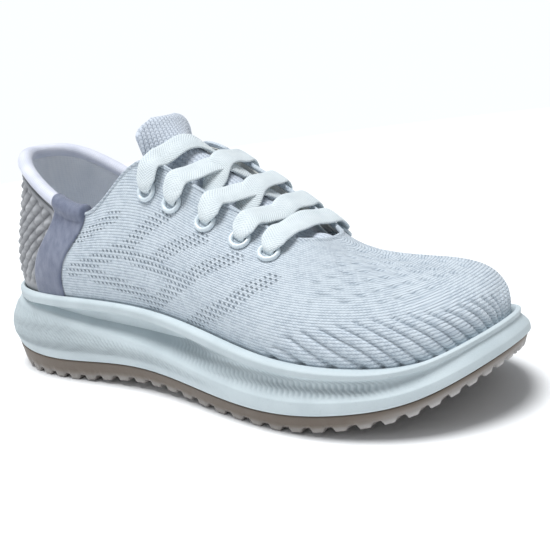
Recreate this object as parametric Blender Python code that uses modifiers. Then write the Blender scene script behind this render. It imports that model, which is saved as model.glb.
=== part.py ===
"""A right running shoe with a knitted upper, a moulded heel cap and a sculpted foam midsole.

Lengths are in millimetres until a mesh is made, where MM turns them into Blender's metres.
+X runs from the heel to the toe, +Y to the inner (medial) side of the foot, and +Z up.
The origin is on the ground, under the middle of the shoe's box.

A place on the shoe is given by a turn t round the sole: 0 at the heel, 10 at the toe,
0 to 10 along the outer (lateral) side and 10 to 20 back along the inner (medial) side.
"""

import math

import bmesh
import bpy
import numpy as np
from mathutils import Matrix, Vector

MM = 0.001

# Driving dimensions, in millimetres.
GAP = 0.3  # between pieces that touch
WALL_GAP = 0.5  # between the upper and the wall of the sole that it sits in
TURNS = 20.0  # t for one trip round the sole
TOE = 10.0  # t at the toe

# Sole outline: x, then y on the lateral and on the medial side. The two ends are single points.
HEEL_TIP = (-145.0, 0.0)
TOE_TIP = (140.8, 4.0)
OUTLINE_PAIRS = (
    (-136.5, -30.0, 28.0),
    (-103.0, -44.5, 41.0),
    (-64.0, -44.0, 38.5),
    (-25.0, -42.0, 36.0),
    (13.0, -46.5, 41.0),
    (52.0, -52.5, 50.0),
    (87.0, -51.0, 53.0),
    (117.0, -38.5, 44.5),
    (135.0, -18.0, 25.5),
)

# Heights along the sole, as pairs of x and z.
GROUND_LINE = ((-145, 5.5), (-125, 1.5), (-102, 0), (-75, 0), (-35, 3), (0, 2),
               (28, 0), (62, 0), (95, 4.0), (120, 10.0), (141, 21))
OUTSOLE_LINE = ((-145, 16.0), (-115, 12.5), (-80, 10.8), (-35, 11.8), (0, 10.2),
                (30, 8.3), (61, 8.0), (96, 11.0), (121, 16.5), (141, 26.5))
RIM_LINE = ((-145, 45.0), (-110, 44.5), (-80, 43.5), (-29, 41.0), (21, 35.5),
            (61, 29.4), (96, 27.2), (121, 28.8), (141, 36.0))
FOOTBED_LINE = ((-145, 33.0), (-100, 32), (-50, 30), (0, 26), (50, 20.5),
                (90, 19), (120, 20.5), (141, 26))

# Outsole tread.
LUGS = 34
GROOVE_DEPTH = 2.6
OUTSOLE_INSET_TOP = 1.2
OUTSOLE_INSET_BOTTOM = 3.4

# Sculpted side of the midsole: the height share of its sweeping ridge, along x.
RIDGE_LINE = ((-145, 0.78), (-110, 0.76), (-80, 0.66), (-40, 0.46), (0, 0.34),
              (40, 0.30), (90, 0.32), (141, 0.38))
RIM_SHARE = 0.84  # the rim band is above this share of the side
HEEL_FLARE = 8.0  # how far the heel's low bulge stands out past its rim
BITE_INSET = ((-145, 14.0), (-125, 10.0), (-95, 7.0), (20, 6.5), (110, 7.0), (141, 7.5))
FEATHER_EXTRA = 4.0  # more inset at the bottom of the upper

# Boards in the shoe.
STROBEL_THICK = 1.7
INSOLE_THICK = 5.0
BOARD_EXTRA = 7.8  # inset of the boards past the bite line

# Layers of the upper, as depths under its outer surface.
KNIT_THICK = 1.5
LINING_DEPTH = KNIT_THICK + 2 * GAP
EYESTAY_DEPTH = KNIT_THICK + GAP
LINING_THICK = 0.6
HEEL_CAP_THICK = 1.5
TOP_LINE_TUBE = 3.7  # radius of the padded collar roll

# Opening of the upper: turn, x, y, z and the three offsets of the last Bezier handle.
OPENING = (
    (0.0, -130, 0, 110.5, -4, 0, -22),
    (0.8, -123, -13, 109.5, -4, -1, -22),
    (1.5, -107, -23.5, 102.5, -2, -3, -20),
    (2.2, -79, -29, 87.5, 0, -3.5, -15),
    (2.72, -59, -29.5, 82.5, 0, -4, -14),
    (3.2, -45, -26.5, 90.0, 0, -6, -18),
    (3.65, -33, -21.5, 101.0, 0, -9, -22),
    (4.1, -23.0, -18.5, 104.5, 1, -10, -24),
    (5.2, 2, -17.5, 94.0, 1, -12, -22),
    (6.1, 30, -16.0, 79.5, 2, -14, -17),
    (6.9, 50, -13.5, 69.4, 5, -18, -12),
    (7.6, 58.5, -9.5, 67.3, 12, -17, -11),
    (8.6, 62.5, -5.5, 66.4, 22, -10, -15),
)
# The medial edge of the throat stands further out than the lateral one, by turn.
MEDIAL_LEAN = ((0, 0), (2.2, 0), (3.2, 1.5), (4.1, 5), (6.9, 5), (8.6, 2), (10, 0))
# The medial side of the vamp is flatter: how much its last handle drops, by turn.
MEDIAL_DROP = ((0, 0), (5.2, 0), (6.1, 4), (6.9, 8.5), (7.6, 9.5), (8.6, 4.5), (10, 0))
OPENING_TOE = (64, 0, 66.0, 24, 0, -20)
# The length of the first Bezier handle, by turn.
FIRST_HANDLE = ((0, 20), (3, 24), (5, 24), (7, 20), (8.5, 24), (10, 33), (11, 35.5), (11.8, 27),
                (13, 16), (15, 24), (17, 24), (20, 20))
FIRST_HANDLE_LEAN = 0.14  # outward lean of that handle, as a share of its length

# Turns where the pieces of the upper meet.
CAP_END = 2.2
STRAP_END = 2.72
LINING_SPLIT = 3.75

# Eyelets, from the ankle to the toe.
EYELET_TURNS = (4.27, 4.92, 5.56, 6.11, 6.61)
EYELET_SHARE = 0.81
EYELET_HOLE = 2.9
EYELET_BARREL = 3.4
EYELET_FLANGE = 4.8
EYELET_BACK_FLANGE = 4.3
EYELET_CUT = 3.7

# Tongue: x and z of its outer face along the crown, its half width, the crown's y and
# how fast its cross-section drops away from the crown, per mm.
TONGUE_LINE = (
    (72, 56.0, 9.0, 0.5, 0.045),
    (62, 60.5, 13.0, 1, 0.05),
    (50, 66.5, 15.5, 2, 0.055),
    (39, 73.8, 17.0, 3, 0.055),
    (25, 82.8, 17.5, 3, 0.055),
    (5, 95.8, 17.5, 3, 0.055),
    (-8, 104.5, 17.5, 3.5, 0.055),
    (-17, 111.5, 16.8, 3.0, 0.052),
    (-20, 114.4, 17.4, 3.2, 0.04),
    (-23, 117.9, 18.2, 3.8, 0.027),
    (-25.2, 121.3, 15.5, 4.2, 0.021),
    (-26.0, 123.3, 8.5, 4.4, 0.018),
)
TONGUE_SHOULDER = 12.0  # past this distance from the crown it drops straight
TONGUE_LAYERS = (("tongue_knit", 0.0, 1.2), ("tongue_foam", 1.8, 2.2), ("tongue_lining", 4.6, 0.8))
TONGUE_HINGE = (73.5, 0, 54.0)

# Flat lace.
LACE_WIDTH = 9.6
LACE_THICK = 1.5
LACE_BUNCH = (3.4, 1.9)  # its width and thickness inside an eyelet
LACE_UNDER = (6.5, 1.2)  # the same, where it runs under a flap
LACE_SIDES = 8
# Eyelets in the order the lace meets them. It comes up through the first four.
LACE_ROUTE = ((1, -1), (2, 1), (3, -1), (4, 1), (4, -1), (3, 1), (2, -1), (1, 1), (0, -1))
LACE_RISES = 4
LOW_STRAP = (1.3, 2.0, 3.2, 4.4, 4.6)  # lift over the tongue, from the flap it leaves under
HIGH_STRAP = (1.3, 3.4, 5.2, 6.2, 5.6)
FRONT_BAR = (4.8, 5.4, 5.6, 5.4, 4.8)

LATERAL, MEDIAL = -1, 1

GREY_WHITE = (0.78, 0.82, 0.86, 1)
COLOURS = {
    "rubber": ((0.36, 0.30, 0.26, 1), 0.6),
    "foam": ((0.74, 0.80, 0.83, 1), 0.5),
    "board": ((0.80, 0.80, 0.78, 1), 0.9),
    "knit": (GREY_WHITE, 0.9),
    "heel": ((0.66, 0.67, 0.68, 1), 0.5),
    "strap": ((0.45, 0.47, 0.60, 1), 0.7),
    "lining": ((0.76, 0.80, 0.86, 1), 0.8),
    "eyelet": ((0.80, 0.84, 0.88, 1), 0.3),
    "lace": ((0.84, 0.88, 0.91, 1), 0.9),
}


# ---------------------------------------------------------------- curves


def spline(knots, values, at, period=None):
    """Cubic spline through values at knots, natural at its ends or closed over a period."""
    knots = np.asarray(knots, float)
    values = np.asarray(values, float).reshape(len(knots), -1)
    at = np.atleast_1d(np.asarray(at, float))
    if period:
        knots = np.append(knots, knots[0] + period)
        values = np.vstack([values, values[:1]])
        at = (at - knots[0]) % period + knots[0]
    last = len(knots) - 1
    step = np.diff(knots)
    rise = np.diff(values, axis=0) / step[:, None]
    system = np.eye(last + 1)
    right = np.zeros_like(values)
    for i in range(1, last):
        system[i, i - 1 : i + 2] = step[i - 1], 2 * (step[i - 1] + step[i]), step[i]
        right[i] = 6 * (rise[i] - rise[i - 1])
    if period:
        system[0] = 0
        system[0, [0, 1, last - 1]] = 2 * (step[0] + step[-1]), step[0], step[-1]
        right[0] = 6 * (rise[0] - rise[-1])
        system[last, 0] = -1
    bend = np.linalg.solve(system, right)
    i = np.clip(np.searchsorted(knots, at, side="right") - 1, 0, last - 1)
    a = ((knots[i + 1] - at) / step[i])[:, None]
    b = 1 - a
    curve = a * values[i] + b * values[i + 1]
    return curve + ((a**3 - a) * bend[i] + (b**3 - b) * bend[i + 1]) * (step[i] ** 2)[:, None] / 6


def height(line, x):
    """The z of a height line at x. Past the ends of the line it stays level."""
    line = np.array(line, float)
    return spline(line[:, 0], line[:, 1], np.clip(x, line[0, 0], line[-1, 0]))[:, 0]


def outline(t):
    """Points of the sole outline at turns t."""
    points = [HEEL_TIP]
    points += [(x, lateral) for x, lateral, _ in OUTLINE_PAIRS]
    points.append(TOE_TIP)
    points += [(x, medial) for x, _, medial in reversed(OUTLINE_PAIRS)]
    return spline(np.arange(len(points)), points, t, TURNS)


def outward(t):
    """Unit normals of the outline, pointing away from the shoe."""
    along = outline(t + 0.01) - outline(t - 0.01)
    normal = np.column_stack([along[:, 1], -along[:, 0]])
    return normal / np.linalg.norm(normal, axis=1)[:, None]


def ring(t, inset, line, lift=0.0):
    """A closed ring: the outline moved in by inset, at the height of a line plus lift."""
    flat = outline(t) - outward(t) * np.reshape(inset, (-1, 1))
    return np.column_stack([flat, height(line, flat[:, 0]) + lift])


def bite_inset(t):
    """Distance from the outline in to the line where the upper meets the rim."""
    return height(BITE_INSET, outline(t)[:, 0])


# ---------------------------------------------------------------- surface of the upper


def opening_keys():
    """The opening and its handle all the way round, as turns and six values each."""
    turns = [row[0] for row in OPENING] + [TOE]
    values = [row[1:] for row in OPENING] + [OPENING_TOE]
    for turn, x, y, z, hx, hy, hz in reversed(OPENING[1:]):
        turns.append(TURNS - turn)
        lean, drop = (height(line, np.array([turn]))[0] for line in (MEDIAL_LEAN, MEDIAL_DROP))
        values.append((x, lean - y, z + (lean - drop) / 4, hx, -hy - drop / 3, hz - drop))
    return turns, values


def opening(t):
    turns, values = opening_keys()
    return spline(turns, values, t, TURNS)


def rib_points(t, v):
    """Points of the upper's outer surface at turns t and shares v.

    v is -1 at the feather edge in the sole, 0 at the rim of the sole and 1 at the opening.
    """
    t, v = np.broadcast_arrays(np.asarray(t, float), np.asarray(v, float))
    shape = t.shape
    t, v = t.ravel(), v.ravel()
    bite = ring(t, bite_inset(t), RIM_LINE)
    feather = ring(t, bite_inset(t) + FEATHER_EXTRA, FOOTBED_LINE, GAP)
    top = opening(t)
    length = height(FIRST_HANDLE, t % TURNS)
    first = bite + np.column_stack([outward(t) * FIRST_HANDLE_LEAN, np.ones(len(t))]) * length[:, None]
    second = top[:, :3] + top[:, 3:]
    s = np.clip(v, 0, 1)[:, None]
    curve = bite * (1 - s) ** 3 + first * 3 * s * (1 - s) ** 2
    curve += second * 3 * s**2 * (1 - s) + top[:, :3] * s**3
    below = np.clip(-v, 0, 1)[:, None]
    return (curve * (1 - below) + feather * below).reshape(*shape, 3)


def rib_normals(t, v):
    """Unit normals of the upper's outer surface, pointing out."""
    t, v = np.broadcast_arrays(np.asarray(t, float), np.asarray(v, float))
    v = np.clip(v, -1, 0.98)
    around = rib_points(t + 0.02, v) - rib_points(t - 0.02, v)
    up = rib_points(t, v + 0.02) - rib_points(t, v - 0.005)
    normal = np.cross(around, up)
    return normal / np.linalg.norm(normal, axis=-1, keepdims=True)


def upper(t, v, depth=0.0):
    """Points at a depth under the upper's outer surface."""
    return rib_points(t, v) - rib_normals(t, v) * np.asarray(depth)[..., None]


# ---------------------------------------------------------------- Blender helpers


def clear_scene():
    for obj in list(bpy.data.objects):
        bpy.data.objects.remove(obj)


def collection(name):
    made = bpy.data.collections.new(name)
    bpy.context.scene.collection.children.link(made)
    return made


def material(name):
    found = bpy.data.materials.get(name)
    if found:
        return found
    colour, roughness = COLOURS[name]
    made = bpy.data.materials.new(name)
    made.use_nodes = True
    shader = made.node_tree.nodes["Principled BSDF"]
    shader.inputs["Base Color"].default_value = colour
    shader.inputs["Roughness"].default_value = roughness
    shader.inputs["Metallic"].default_value = 0.0
    made.diffuse_color = colour
    return made


def mesh_object(name, points, faces, slot, home):
    """A smooth-shaded object from points in millimetres, with its faces pointing out."""
    mesh = bpy.data.meshes.new(name)
    mesh.from_pydata((np.asarray(points) * MM).tolist(), [], [tuple(f) for f in faces])
    work = bmesh.new()
    work.from_mesh(mesh)
    bmesh.ops.recalc_face_normals(work, faces=work.faces)
    work.to_mesh(mesh)
    work.free()
    mesh.shade_smooth()
    mesh.set_sharp_from_angle(angle=math.radians(40))
    made = bpy.data.objects.new(name, mesh)
    mesh.materials.append(material(slot))
    home.objects.link(made)
    return made


def cap(points, faces, start, count, rows, flip):
    """Closes a ring with rows of quads that join its lateral to its medial points."""
    half = count // 2
    ladder = [[start] * (rows + 1)]
    for i in range(1, half):
        near, far = np.array(points[start + i]), np.array(points[start + count - i])
        inner = list(range(len(points), len(points) + rows - 1))
        points.extend(near + (far - near) * j / rows for j in range(1, rows))
        ladder.append([start + i, *inner, start + count - i])
    ladder.append([start + half] * (rows + 1))
    for one, two in zip(ladder, ladder[1:]):
        for j in range(rows):
            face = [one[j], one[j + 1], two[j + 1], two[j]]
            face = list(dict.fromkeys(face))
            if len(face) > 2:
                faces.append(face[::-1] if flip else face)


def ring_solid(name, rings, slot, home, rows=4):
    """A closed solid from a stack of rings, capped at both ends."""
    count = len(rings[0])
    points = [p for one in rings for p in one]
    faces = []
    for level in range(len(rings) - 1):
        for i in range(count):
            j = (i + 1) % count
            low, high = level * count, (level + 1) * count
            faces.append((low + i, low + j, high + j, high + i))
    cap(points, faces, 0, count, rows, True)
    cap(points, faces, (len(rings) - 1) * count, count, rows, False)
    return mesh_object(name, points, faces, slot, home)


def sheet(name, grid, thickness, slot, home):
    """A shell: a grid of points on its outer face, thickened inwards by Solidify."""
    rows, columns = grid.shape[:2]
    faces = []
    for i in range(rows - 1):
        for j in range(columns - 1):
            a = i * columns + j
            faces.append((a, a + columns, a + columns + 1, a + 1))
    made = mesh_object(name, grid.reshape(-1, 3), faces, slot, home)
    centre = Vector(np.mean(grid.reshape(-1, 3), 0) * MM)
    face = made.data.polygons[len(faces) // 2]
    inward = face.normal.dot(face.center - centre) > 0
    solid = made.modifiers.new("thickness", "SOLIDIFY")
    solid.thickness = thickness * MM
    solid.offset = -1 if inward else 1
    return made


def cut(target, cutter):
    """Subtracts a helper object, which stays out of the render."""
    cutter.hide_render = True
    cutter.display_type = "WIRE"
    step = target.modifiers.new("cut_" + cutter.name, "BOOLEAN")
    step.operation = "DIFFERENCE"
    step.solver = "EXACT"
    step.object = cutter


# ---------------------------------------------------------------- sole


def side_inset(x, share):
    """How far the midsole's side lies inside the outline, at a share of its height.

    A ridge sweeps from under the rim at the heel down to the lower edge at the ball.
    Over it the side is hollow up to the rim band, and under it the heel bulges out.
    """
    ridge = height(RIDGE_LINE, x)
    heel = np.clip((20 - x) / 110, 0, 1)
    tip = np.clip((-100 - x) / 40, 0, 1)
    toe = np.clip((x - 100) / 35, 0, 1)
    rim_edge = 1.2 + 1.6 * heel + (HEEL_FLARE - 1.5) * tip + 2.0 * toe
    ridge_inset = 0.4 + 4.2 * heel + 3.0 * tip
    above = np.clip((share - ridge) / np.maximum(RIM_SHARE - ridge, 0.02), 0, 1)
    depth = (2.8 + 11.0 * heel * (1 - heel)) * (1 - toe) * (1 - tip)
    hollow = depth * np.clip((RIM_SHARE - ridge) / 0.3, 0, 1) * np.sin(math.pi * above)
    below = np.clip((ridge - share) / np.maximum(ridge, 0.02), 0, 1)
    bulge = ridge_inset * (1 - np.sin(math.pi / 2 * np.clip(below / 0.7, 0, 1)))
    foot = 1.2 * np.clip((below - 0.7) / 0.3, 0, 1) ** 2
    inset = np.where(share > ridge, ridge_inset * (1 - above) + rim_edge * above + hollow, bulge + foot)
    rounding = 1.6 * np.clip((share - 0.94) / 0.06, 0, 1) ** 2
    return inset + rounding


def outsole(home):
    """Rubber sheet under the whole shoe, with a bar tread that shows as teeth along its edge."""
    quarter = np.array([0.0, 0.42, 0.5, 0.92])
    side = np.concatenate([(lug + quarter) / LUGS * TOE for lug in range(LUGS)] + [[TOE]])
    t = np.concatenate([side, TURNS - side[-2:0:-1]])
    groove = np.tile([0.0, 0.0, 1.0, 1.0], LUGS)[1:]
    groove = np.concatenate([[0.0], groove, [0.0], groove[::-1]])
    top = ring(t, OUTSOLE_INSET_TOP, OUTSOLE_LINE)
    step = ring(t, OUTSOLE_INSET_TOP + 1.4, GROUND_LINE, GROOVE_DEPTH + 1.2)
    step[:, 2] = np.minimum(step[:, 2], top[:, 2] - 1.0)
    foot = ring(t, OUTSOLE_INSET_BOTTOM, GROUND_LINE)
    foot[:, 2] = np.maximum(foot[:, 2], 0) + groove * GROOVE_DEPTH
    return ring_solid("outsole", [foot, step, top], "rubber", home, rows=2)


def midsole(home):
    """One-piece foam tray: sculpted side, rim and the hollow that the upper sits in."""
    t = np.arange(96) * TURNS / 96
    rings = []
    for share in (0.0, 0.15, 0.3, 0.45, 0.6, 0.72, 0.84, 0.94, 1.0):
        flat = outline(t)
        low = height(OUTSOLE_LINE, flat[:, 0]) + GAP
        high = height(RIM_LINE, flat[:, 0])
        level = ring(t, side_inset(flat[:, 0], share), RIM_LINE)
        level[:, 2] = low + (high - low) * share
        rings.append(level)
    rings.append(ring(t, bite_inset(t) - WALL_GAP, RIM_LINE, -0.6))
    rings.append(ring(t, bite_inset(t) + FEATHER_EXTRA - 2 * WALL_GAP, FOOTBED_LINE))
    return ring_solid("midsole", rings, "foam", home)


def strobel_board(home):
    """Stitched textile board that closes the bottom of the upper."""
    t = np.arange(64) * TURNS / 64
    inset = bite_inset(t) + BOARD_EXTRA
    low = ring(t, inset, FOOTBED_LINE, GAP)
    high = ring(t, inset, FOOTBED_LINE, GAP + STROBEL_THICK)
    return ring_solid("strobel_board", [low, high], "board", home)


def insole(home):
    """Removable foam footbed, slightly dished by its raised edge."""
    t = np.arange(64) * TURNS / 64
    base = 2 * GAP + STROBEL_THICK
    inset = bite_inset(t) + BOARD_EXTRA
    rings = [
        ring(t, inset + 0.6, FOOTBED_LINE, base),
        ring(t, inset, FOOTBED_LINE, base + 1.5),
        ring(t, inset, FOOTBED_LINE, base + INSOLE_THICK + 1.2),
        ring(t, inset + 5.0, FOOTBED_LINE, base + INSOLE_THICK),
    ]
    return ring_solid("insole", rings, "lining", home)


# ---------------------------------------------------------------- upper

TURN_STEP = 0.25


def turns_between(start, end):
    """Turns from start to end, with both ends and the shared lattice in between."""
    first = math.ceil(start / TURN_STEP + 0.2) * TURN_STEP
    inner = np.arange(first, end - 0.2 * TURN_STEP, TURN_STEP)
    return np.concatenate([[start], inner, [end]])


def layer(name, start, end, shares, depth, thickness, slot, home, top=0.0):
    """A shell of the upper between two turns, at a depth under its outer surface.

    Its top edge stays the given distance under the opening.
    """
    t = turns_between(start, end)
    reach = 3 * np.linalg.norm(opening(t)[:, 3:], axis=1)
    shares = np.array(shares)[None, :] * np.where(np.array(shares) > 0, 1 - top / reach[:, None], 1)
    depth = np.where(shares > 0, depth, max(depth, 0))
    return sheet(name, upper(t[:, None], shares, depth), thickness, slot, home)


def eyelet_place(row, side):
    """Centre and outward normal of an eyelet on the outer surface."""
    t = EYELET_TURNS[row] if side == LATERAL else TURNS - EYELET_TURNS[row]
    return rib_points(t, EYELET_SHARE).reshape(3), rib_normals(t, EYELET_SHARE).reshape(3)


def eyelet_cutter(row, side, home):
    centre, normal = eyelet_place(row, side)
    work = bmesh.new()
    bmesh.ops.create_cone(
        work, cap_ends=True, segments=12, radius1=EYELET_CUT * MM, radius2=EYELET_CUT * MM, depth=14 * MM
    )
    mesh = bpy.data.meshes.new("eyelet_cutter")
    work.to_mesh(mesh)
    work.free()
    made = bpy.data.objects.new(f"eyelet_cutter_{row + 1}_{'lateral' if side == LATERAL else 'medial'}", mesh)
    made.matrix_world = (
        Matrix.Translation(Vector(centre) * MM) @ Vector(normal).to_track_quat("Z", "Y").to_matrix().to_4x4()
    )
    home.objects.link(made)
    return made


def knit_upper(home, cutters):
    """One knitted piece: both quarters and the vamp, from strap to strap round the toe."""
    shares = (-1, 0, 0.12, 0.25, 0.38, 0.5, 0.62, 0.74, 0.86, 1.0)
    half_gap = 0.012
    made = layer(
        "knit_upper", STRAP_END + half_gap, TURNS - STRAP_END - half_gap, shares, 0, KNIT_THICK, "knit", home
    )
    for cutter in cutters:
        cut(made, cutter)
    return made


def heel_cap(home):
    """Moulded heel shell, up to just under the padded collar."""
    shares = (-1, 0, 0.16, 0.32, 0.48, 0.64, 0.82, 1)
    return layer("heel_cap", -CAP_END, CAP_END, shares, 0, HEEL_CAP_THICK, "heel", home, top=4.6)


def strap(side, home):
    """Soft strap over the joint of the heel cap and the knit."""
    edge = 0.012
    start, end = CAP_END + edge, STRAP_END - edge
    if side == MEDIAL:
        start, end = TURNS - end, TURNS - start
    name = "strap_lateral" if side == LATERAL else "strap_medial"
    shares = (-1, 0, 0.16, 0.32, 0.48, 0.64, 0.82, 1)
    return layer(name, start, end, shares, -0.3, KNIT_THICK, "strap", home, top=4.8)


def collar_roll(home):
    """Padded roll along the top of the heel cap, from strap to strap."""
    t = np.linspace(-STRAP_END + 0.03, STRAP_END - 0.03, 40)
    path = upper(t, np.full(len(t), 1.0), np.full(len(t), 1.5))
    curve = bpy.data.curves.new("collar_roll", "CURVE")
    curve.dimensions = "3D"
    curve.bevel_depth = TOP_LINE_TUBE * MM
    curve.bevel_resolution = 2
    curve.use_fill_caps = True
    line = curve.splines.new("POLY")
    line.points.add(len(path) - 1)
    for point, place in zip(line.points, path * MM):
        point.co = (*place, 1)
    made = bpy.data.objects.new("collar_roll", curve)
    curve.materials.append(material("lining"))
    home.objects.link(made)
    return made


def linings(home):
    """Textile linings, the heel one under the collar and the front one under the knit."""
    heel_shares = (-0.85, 0, 0.16, 0.32, 0.48, 0.64, 0.82, 1)
    front_shares = (-0.85, 0, 0.16, 0.32, 0.48, 0.59, 0.68)
    layer(
        "heel_lining",
        -LINING_SPLIT,
        LINING_SPLIT,
        heel_shares,
        LINING_DEPTH,
        LINING_THICK,
        "lining",
        home,
        top=5.0,
    )
    layer(
        "vamp_lining",
        LINING_SPLIT + 0.03,
        TURNS - LINING_SPLIT - 0.03,
        front_shares,
        LINING_DEPTH,
        LINING_THICK,
        "lining",
        home,
    )


def toe_puff(home):
    """Thin stiffener behind the lining at the toe."""
    depth = LINING_DEPTH + LINING_THICK + GAP
    return layer("toe_puff", 8.4, 11.6, (-0.4, 0, 0.16, 0.32, 0.48), depth, 0.6, "board", home)


def eyestay(side, home, cutters):
    """Reinforcing strip under the knit that the eyelets clamp."""
    start, end = 3.95, 7.0
    if side == MEDIAL:
        start, end = TURNS - end, TURNS - start
    name = "eyestay_lateral" if side == LATERAL else "eyestay_medial"
    shares = (0.71, 0.78, 0.85, 0.92, 0.985)
    made = layer(name, start, end, shares, EYESTAY_DEPTH, LINING_THICK, "board", home)
    for cutter in cutters:
        cut(made, cutter)
    return made


def eyelet(row, side, mesh, home):
    """Ring set through the knit and the eyestay, its rolled flange outside."""
    centre, normal = eyelet_place(row, side)
    name = f"eyelet_{'lateral' if side == LATERAL else 'medial'}_{row + 1}"
    made = bpy.data.objects.new(name, mesh)
    made.location = Vector(centre) * MM
    made.rotation_euler = Vector(normal).to_track_quat("Z", "Y").to_euler()
    home.objects.link(made)
    return made


def eyelet_mesh():
    """Turned profile of an eyelet, spun about its own Z axis into one closed ring."""
    back = -(EYESTAY_DEPTH + LINING_THICK + 1.5 * GAP)
    profile = (
        (EYELET_HOLE, 0.8),
        (EYELET_HOLE + 0.9, 1.5),
        (EYELET_FLANGE, GAP + 0.4),
        (EYELET_FLANGE - 0.2, GAP + 0.2),
        (EYELET_BARREL, GAP + 0.2),
        (EYELET_BARREL, back),
        (EYELET_BACK_FLANGE, back),
        (EYELET_BACK_FLANGE - 0.2, back - 0.5),
        (EYELET_HOLE, back - 0.5),
    )
    segments = 14
    points, faces = [], []
    for i in range(segments):
        angle = 2 * math.pi * i / segments
        points += [(r * math.cos(angle), r * math.sin(angle), z) for r, z in profile]
    size = len(profile)
    for i in range(segments):
        k = (i + 1) % segments
        for j in range(size):
            n = (j + 1) % size
            faces.append((i * size + j, k * size + j, k * size + n, i * size + n))
    return points, faces


# ---------------------------------------------------------------- tongue


def tongue_surface(s, across):
    """Outer face of the tongue, along its length s from 0 to 1 and across it from -1 to 1."""
    keys = np.array(TONGUE_LINE, float)
    reach = np.concatenate([[0], np.cumsum(np.hypot(*np.diff(keys[:, :2], axis=0).T))])
    x, z, half, crown, sag = spline(reach, keys, np.ravel(s) * reach[-1]).T
    slope_x, slope_z = np.gradient(x), np.gradient(z)
    size = np.hypot(slope_x, slope_z)
    side = half[:, None] * np.ravel(across)[None, :]
    far = np.abs(side)
    drop = np.minimum(far, TONGUE_SHOULDER) ** 2
    drop = sag[:, None] * (drop + 2 * TONGUE_SHOULDER * np.maximum(far - TONGUE_SHOULDER, 0))
    out_x, out_z = slope_z / size, -slope_x / size
    return np.stack(
        [x[:, None] - out_x[:, None] * drop, crown[:, None] + side, z[:, None] - out_z[:, None] * drop], -1
    )


def grid_normals(grid):
    """Unit normals of a grid of points, on the side with the higher z."""
    normal = np.cross(np.gradient(grid, axis=0), np.gradient(grid, axis=1))
    normal /= np.linalg.norm(normal, axis=-1, keepdims=True)
    return normal * np.sign(normal[..., 2:].sum())


def tongue(home):
    """Knit, foam and lining of the tongue, each a sheet whose parent stands on the hinge."""
    hinge = bpy.data.objects.new("tongue_hinge", None)
    hinge.location = Vector(TONGUE_HINGE) * MM
    home.objects.link(hinge)
    surface = tongue_surface(np.linspace(0, 1, 17), np.linspace(-1, 1, 9))
    normals = grid_normals(surface)
    for name, depth, thickness in TONGUE_LAYERS:
        slot = "knit" if name == "tongue_knit" else "lining"
        made = sheet(name, surface - normals * depth - TONGUE_HINGE, thickness, slot, home)
        made.parent = hinge


def centre():
    """Moves the whole shoe so that the middle of its box stands over the origin."""
    bpy.context.view_layer.update()
    graph = bpy.context.evaluated_depsgraph_get()
    corners = []
    for obj in bpy.data.objects:
        if obj.type == "MESH" and not obj.hide_render:
            shape = obj.evaluated_get(graph)
            corners += [obj.matrix_world @ Vector(corner) for corner in shape.bound_box]
    corners = np.array(corners)
    middle = (corners.min(0) + corners.max(0)) / 2
    for obj in bpy.data.objects:
        if not obj.parent:
            obj.location -= Vector((middle[0], middle[1], corners[:, 2].min()))


# ---------------------------------------------------------------- lace


def tongue_top(x, y):
    """Height of the tongue's outer face over a place in plan view."""
    keys = np.array(TONGUE_LINE, float)[::-1]
    z, crown, sag = spline(keys[:, 0], keys[:, [1, 3, 4]], x)[0]
    slope = (spline(keys[:, 0], keys[:, 1], x + 1) - spline(keys[:, 0], keys[:, 1], x - 1))[0, 0] / 2
    far = abs(y - crown)
    drop = sag * (min(far, TONGUE_SHOULDER) ** 2 + 2 * TONGUE_SHOULDER * max(far - TONGUE_SHOULDER, 0))
    return z - drop * math.hypot(1, slope)


def flap_station(row, side, shift, share, lift, size):
    """A station by an eyelet: shifted along the flap, at a share of it and lifted off it."""
    t = EYELET_TURNS[row] + shift
    t = t if side == LATERAL else TURNS - t
    place = rib_points(t, share).reshape(3) + rib_normals(t, share).reshape(3) * lift
    return place, size, unit(rib_points(t + 0.05, share) - rib_points(t - 0.05, share))


def unit(vector):
    vector = np.reshape(vector, 3)
    return vector / np.linalg.norm(vector)


def eyelet_stations(row, side, front):
    """Stations from over a flap's edge, down through an eyelet and back out under the edge."""
    full = (LACE_WIDTH, LACE_THICK)
    over = 0.0 if front else 0.12
    stations = [
        flap_station(row, side, over, 0.99, 3.5, full),
        flap_station(row, side, over * 0.6, EYELET_SHARE + 0.11, 3.5, full),
        flap_station(row, side, over * 0.2, EYELET_SHARE + 0.05, 3.4, (LACE_WIDTH * 0.68, LACE_THICK)),
    ]
    for lift in (1.4, -1.2, -3.7):
        stations.append(flap_station(row, side, 0, EYELET_SHARE + 0.006, lift, LACE_BUNCH))
    for shift, share, lift in ((-0.02, EYELET_SHARE + 0.05, -5.2), (-0.06, 0.95, -5.2)):
        stations.append(flap_station(row, side, shift, share, lift, LACE_UNDER))
    place, _, width = flap_station(row, side, -0.1, 1.0, -4.8, LACE_UNDER)
    inward = np.array([0, -side, 0.35])
    stations.append((place + inward * 2.8, LACE_UNDER, width))
    return stations


def tail_stations(row, side):
    """Stations of an end that hangs down inside the shoe, from just under its eyelet."""
    places = ((-0.10, 0.75, -5.4), (-0.22, 0.66, -6.0), (-0.32, 0.56, -6.0), (-0.40, 0.45, -6.0))
    return [flap_station(row, side, shift, share, lift, LACE_UNDER) for shift, share, lift in places]


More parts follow.
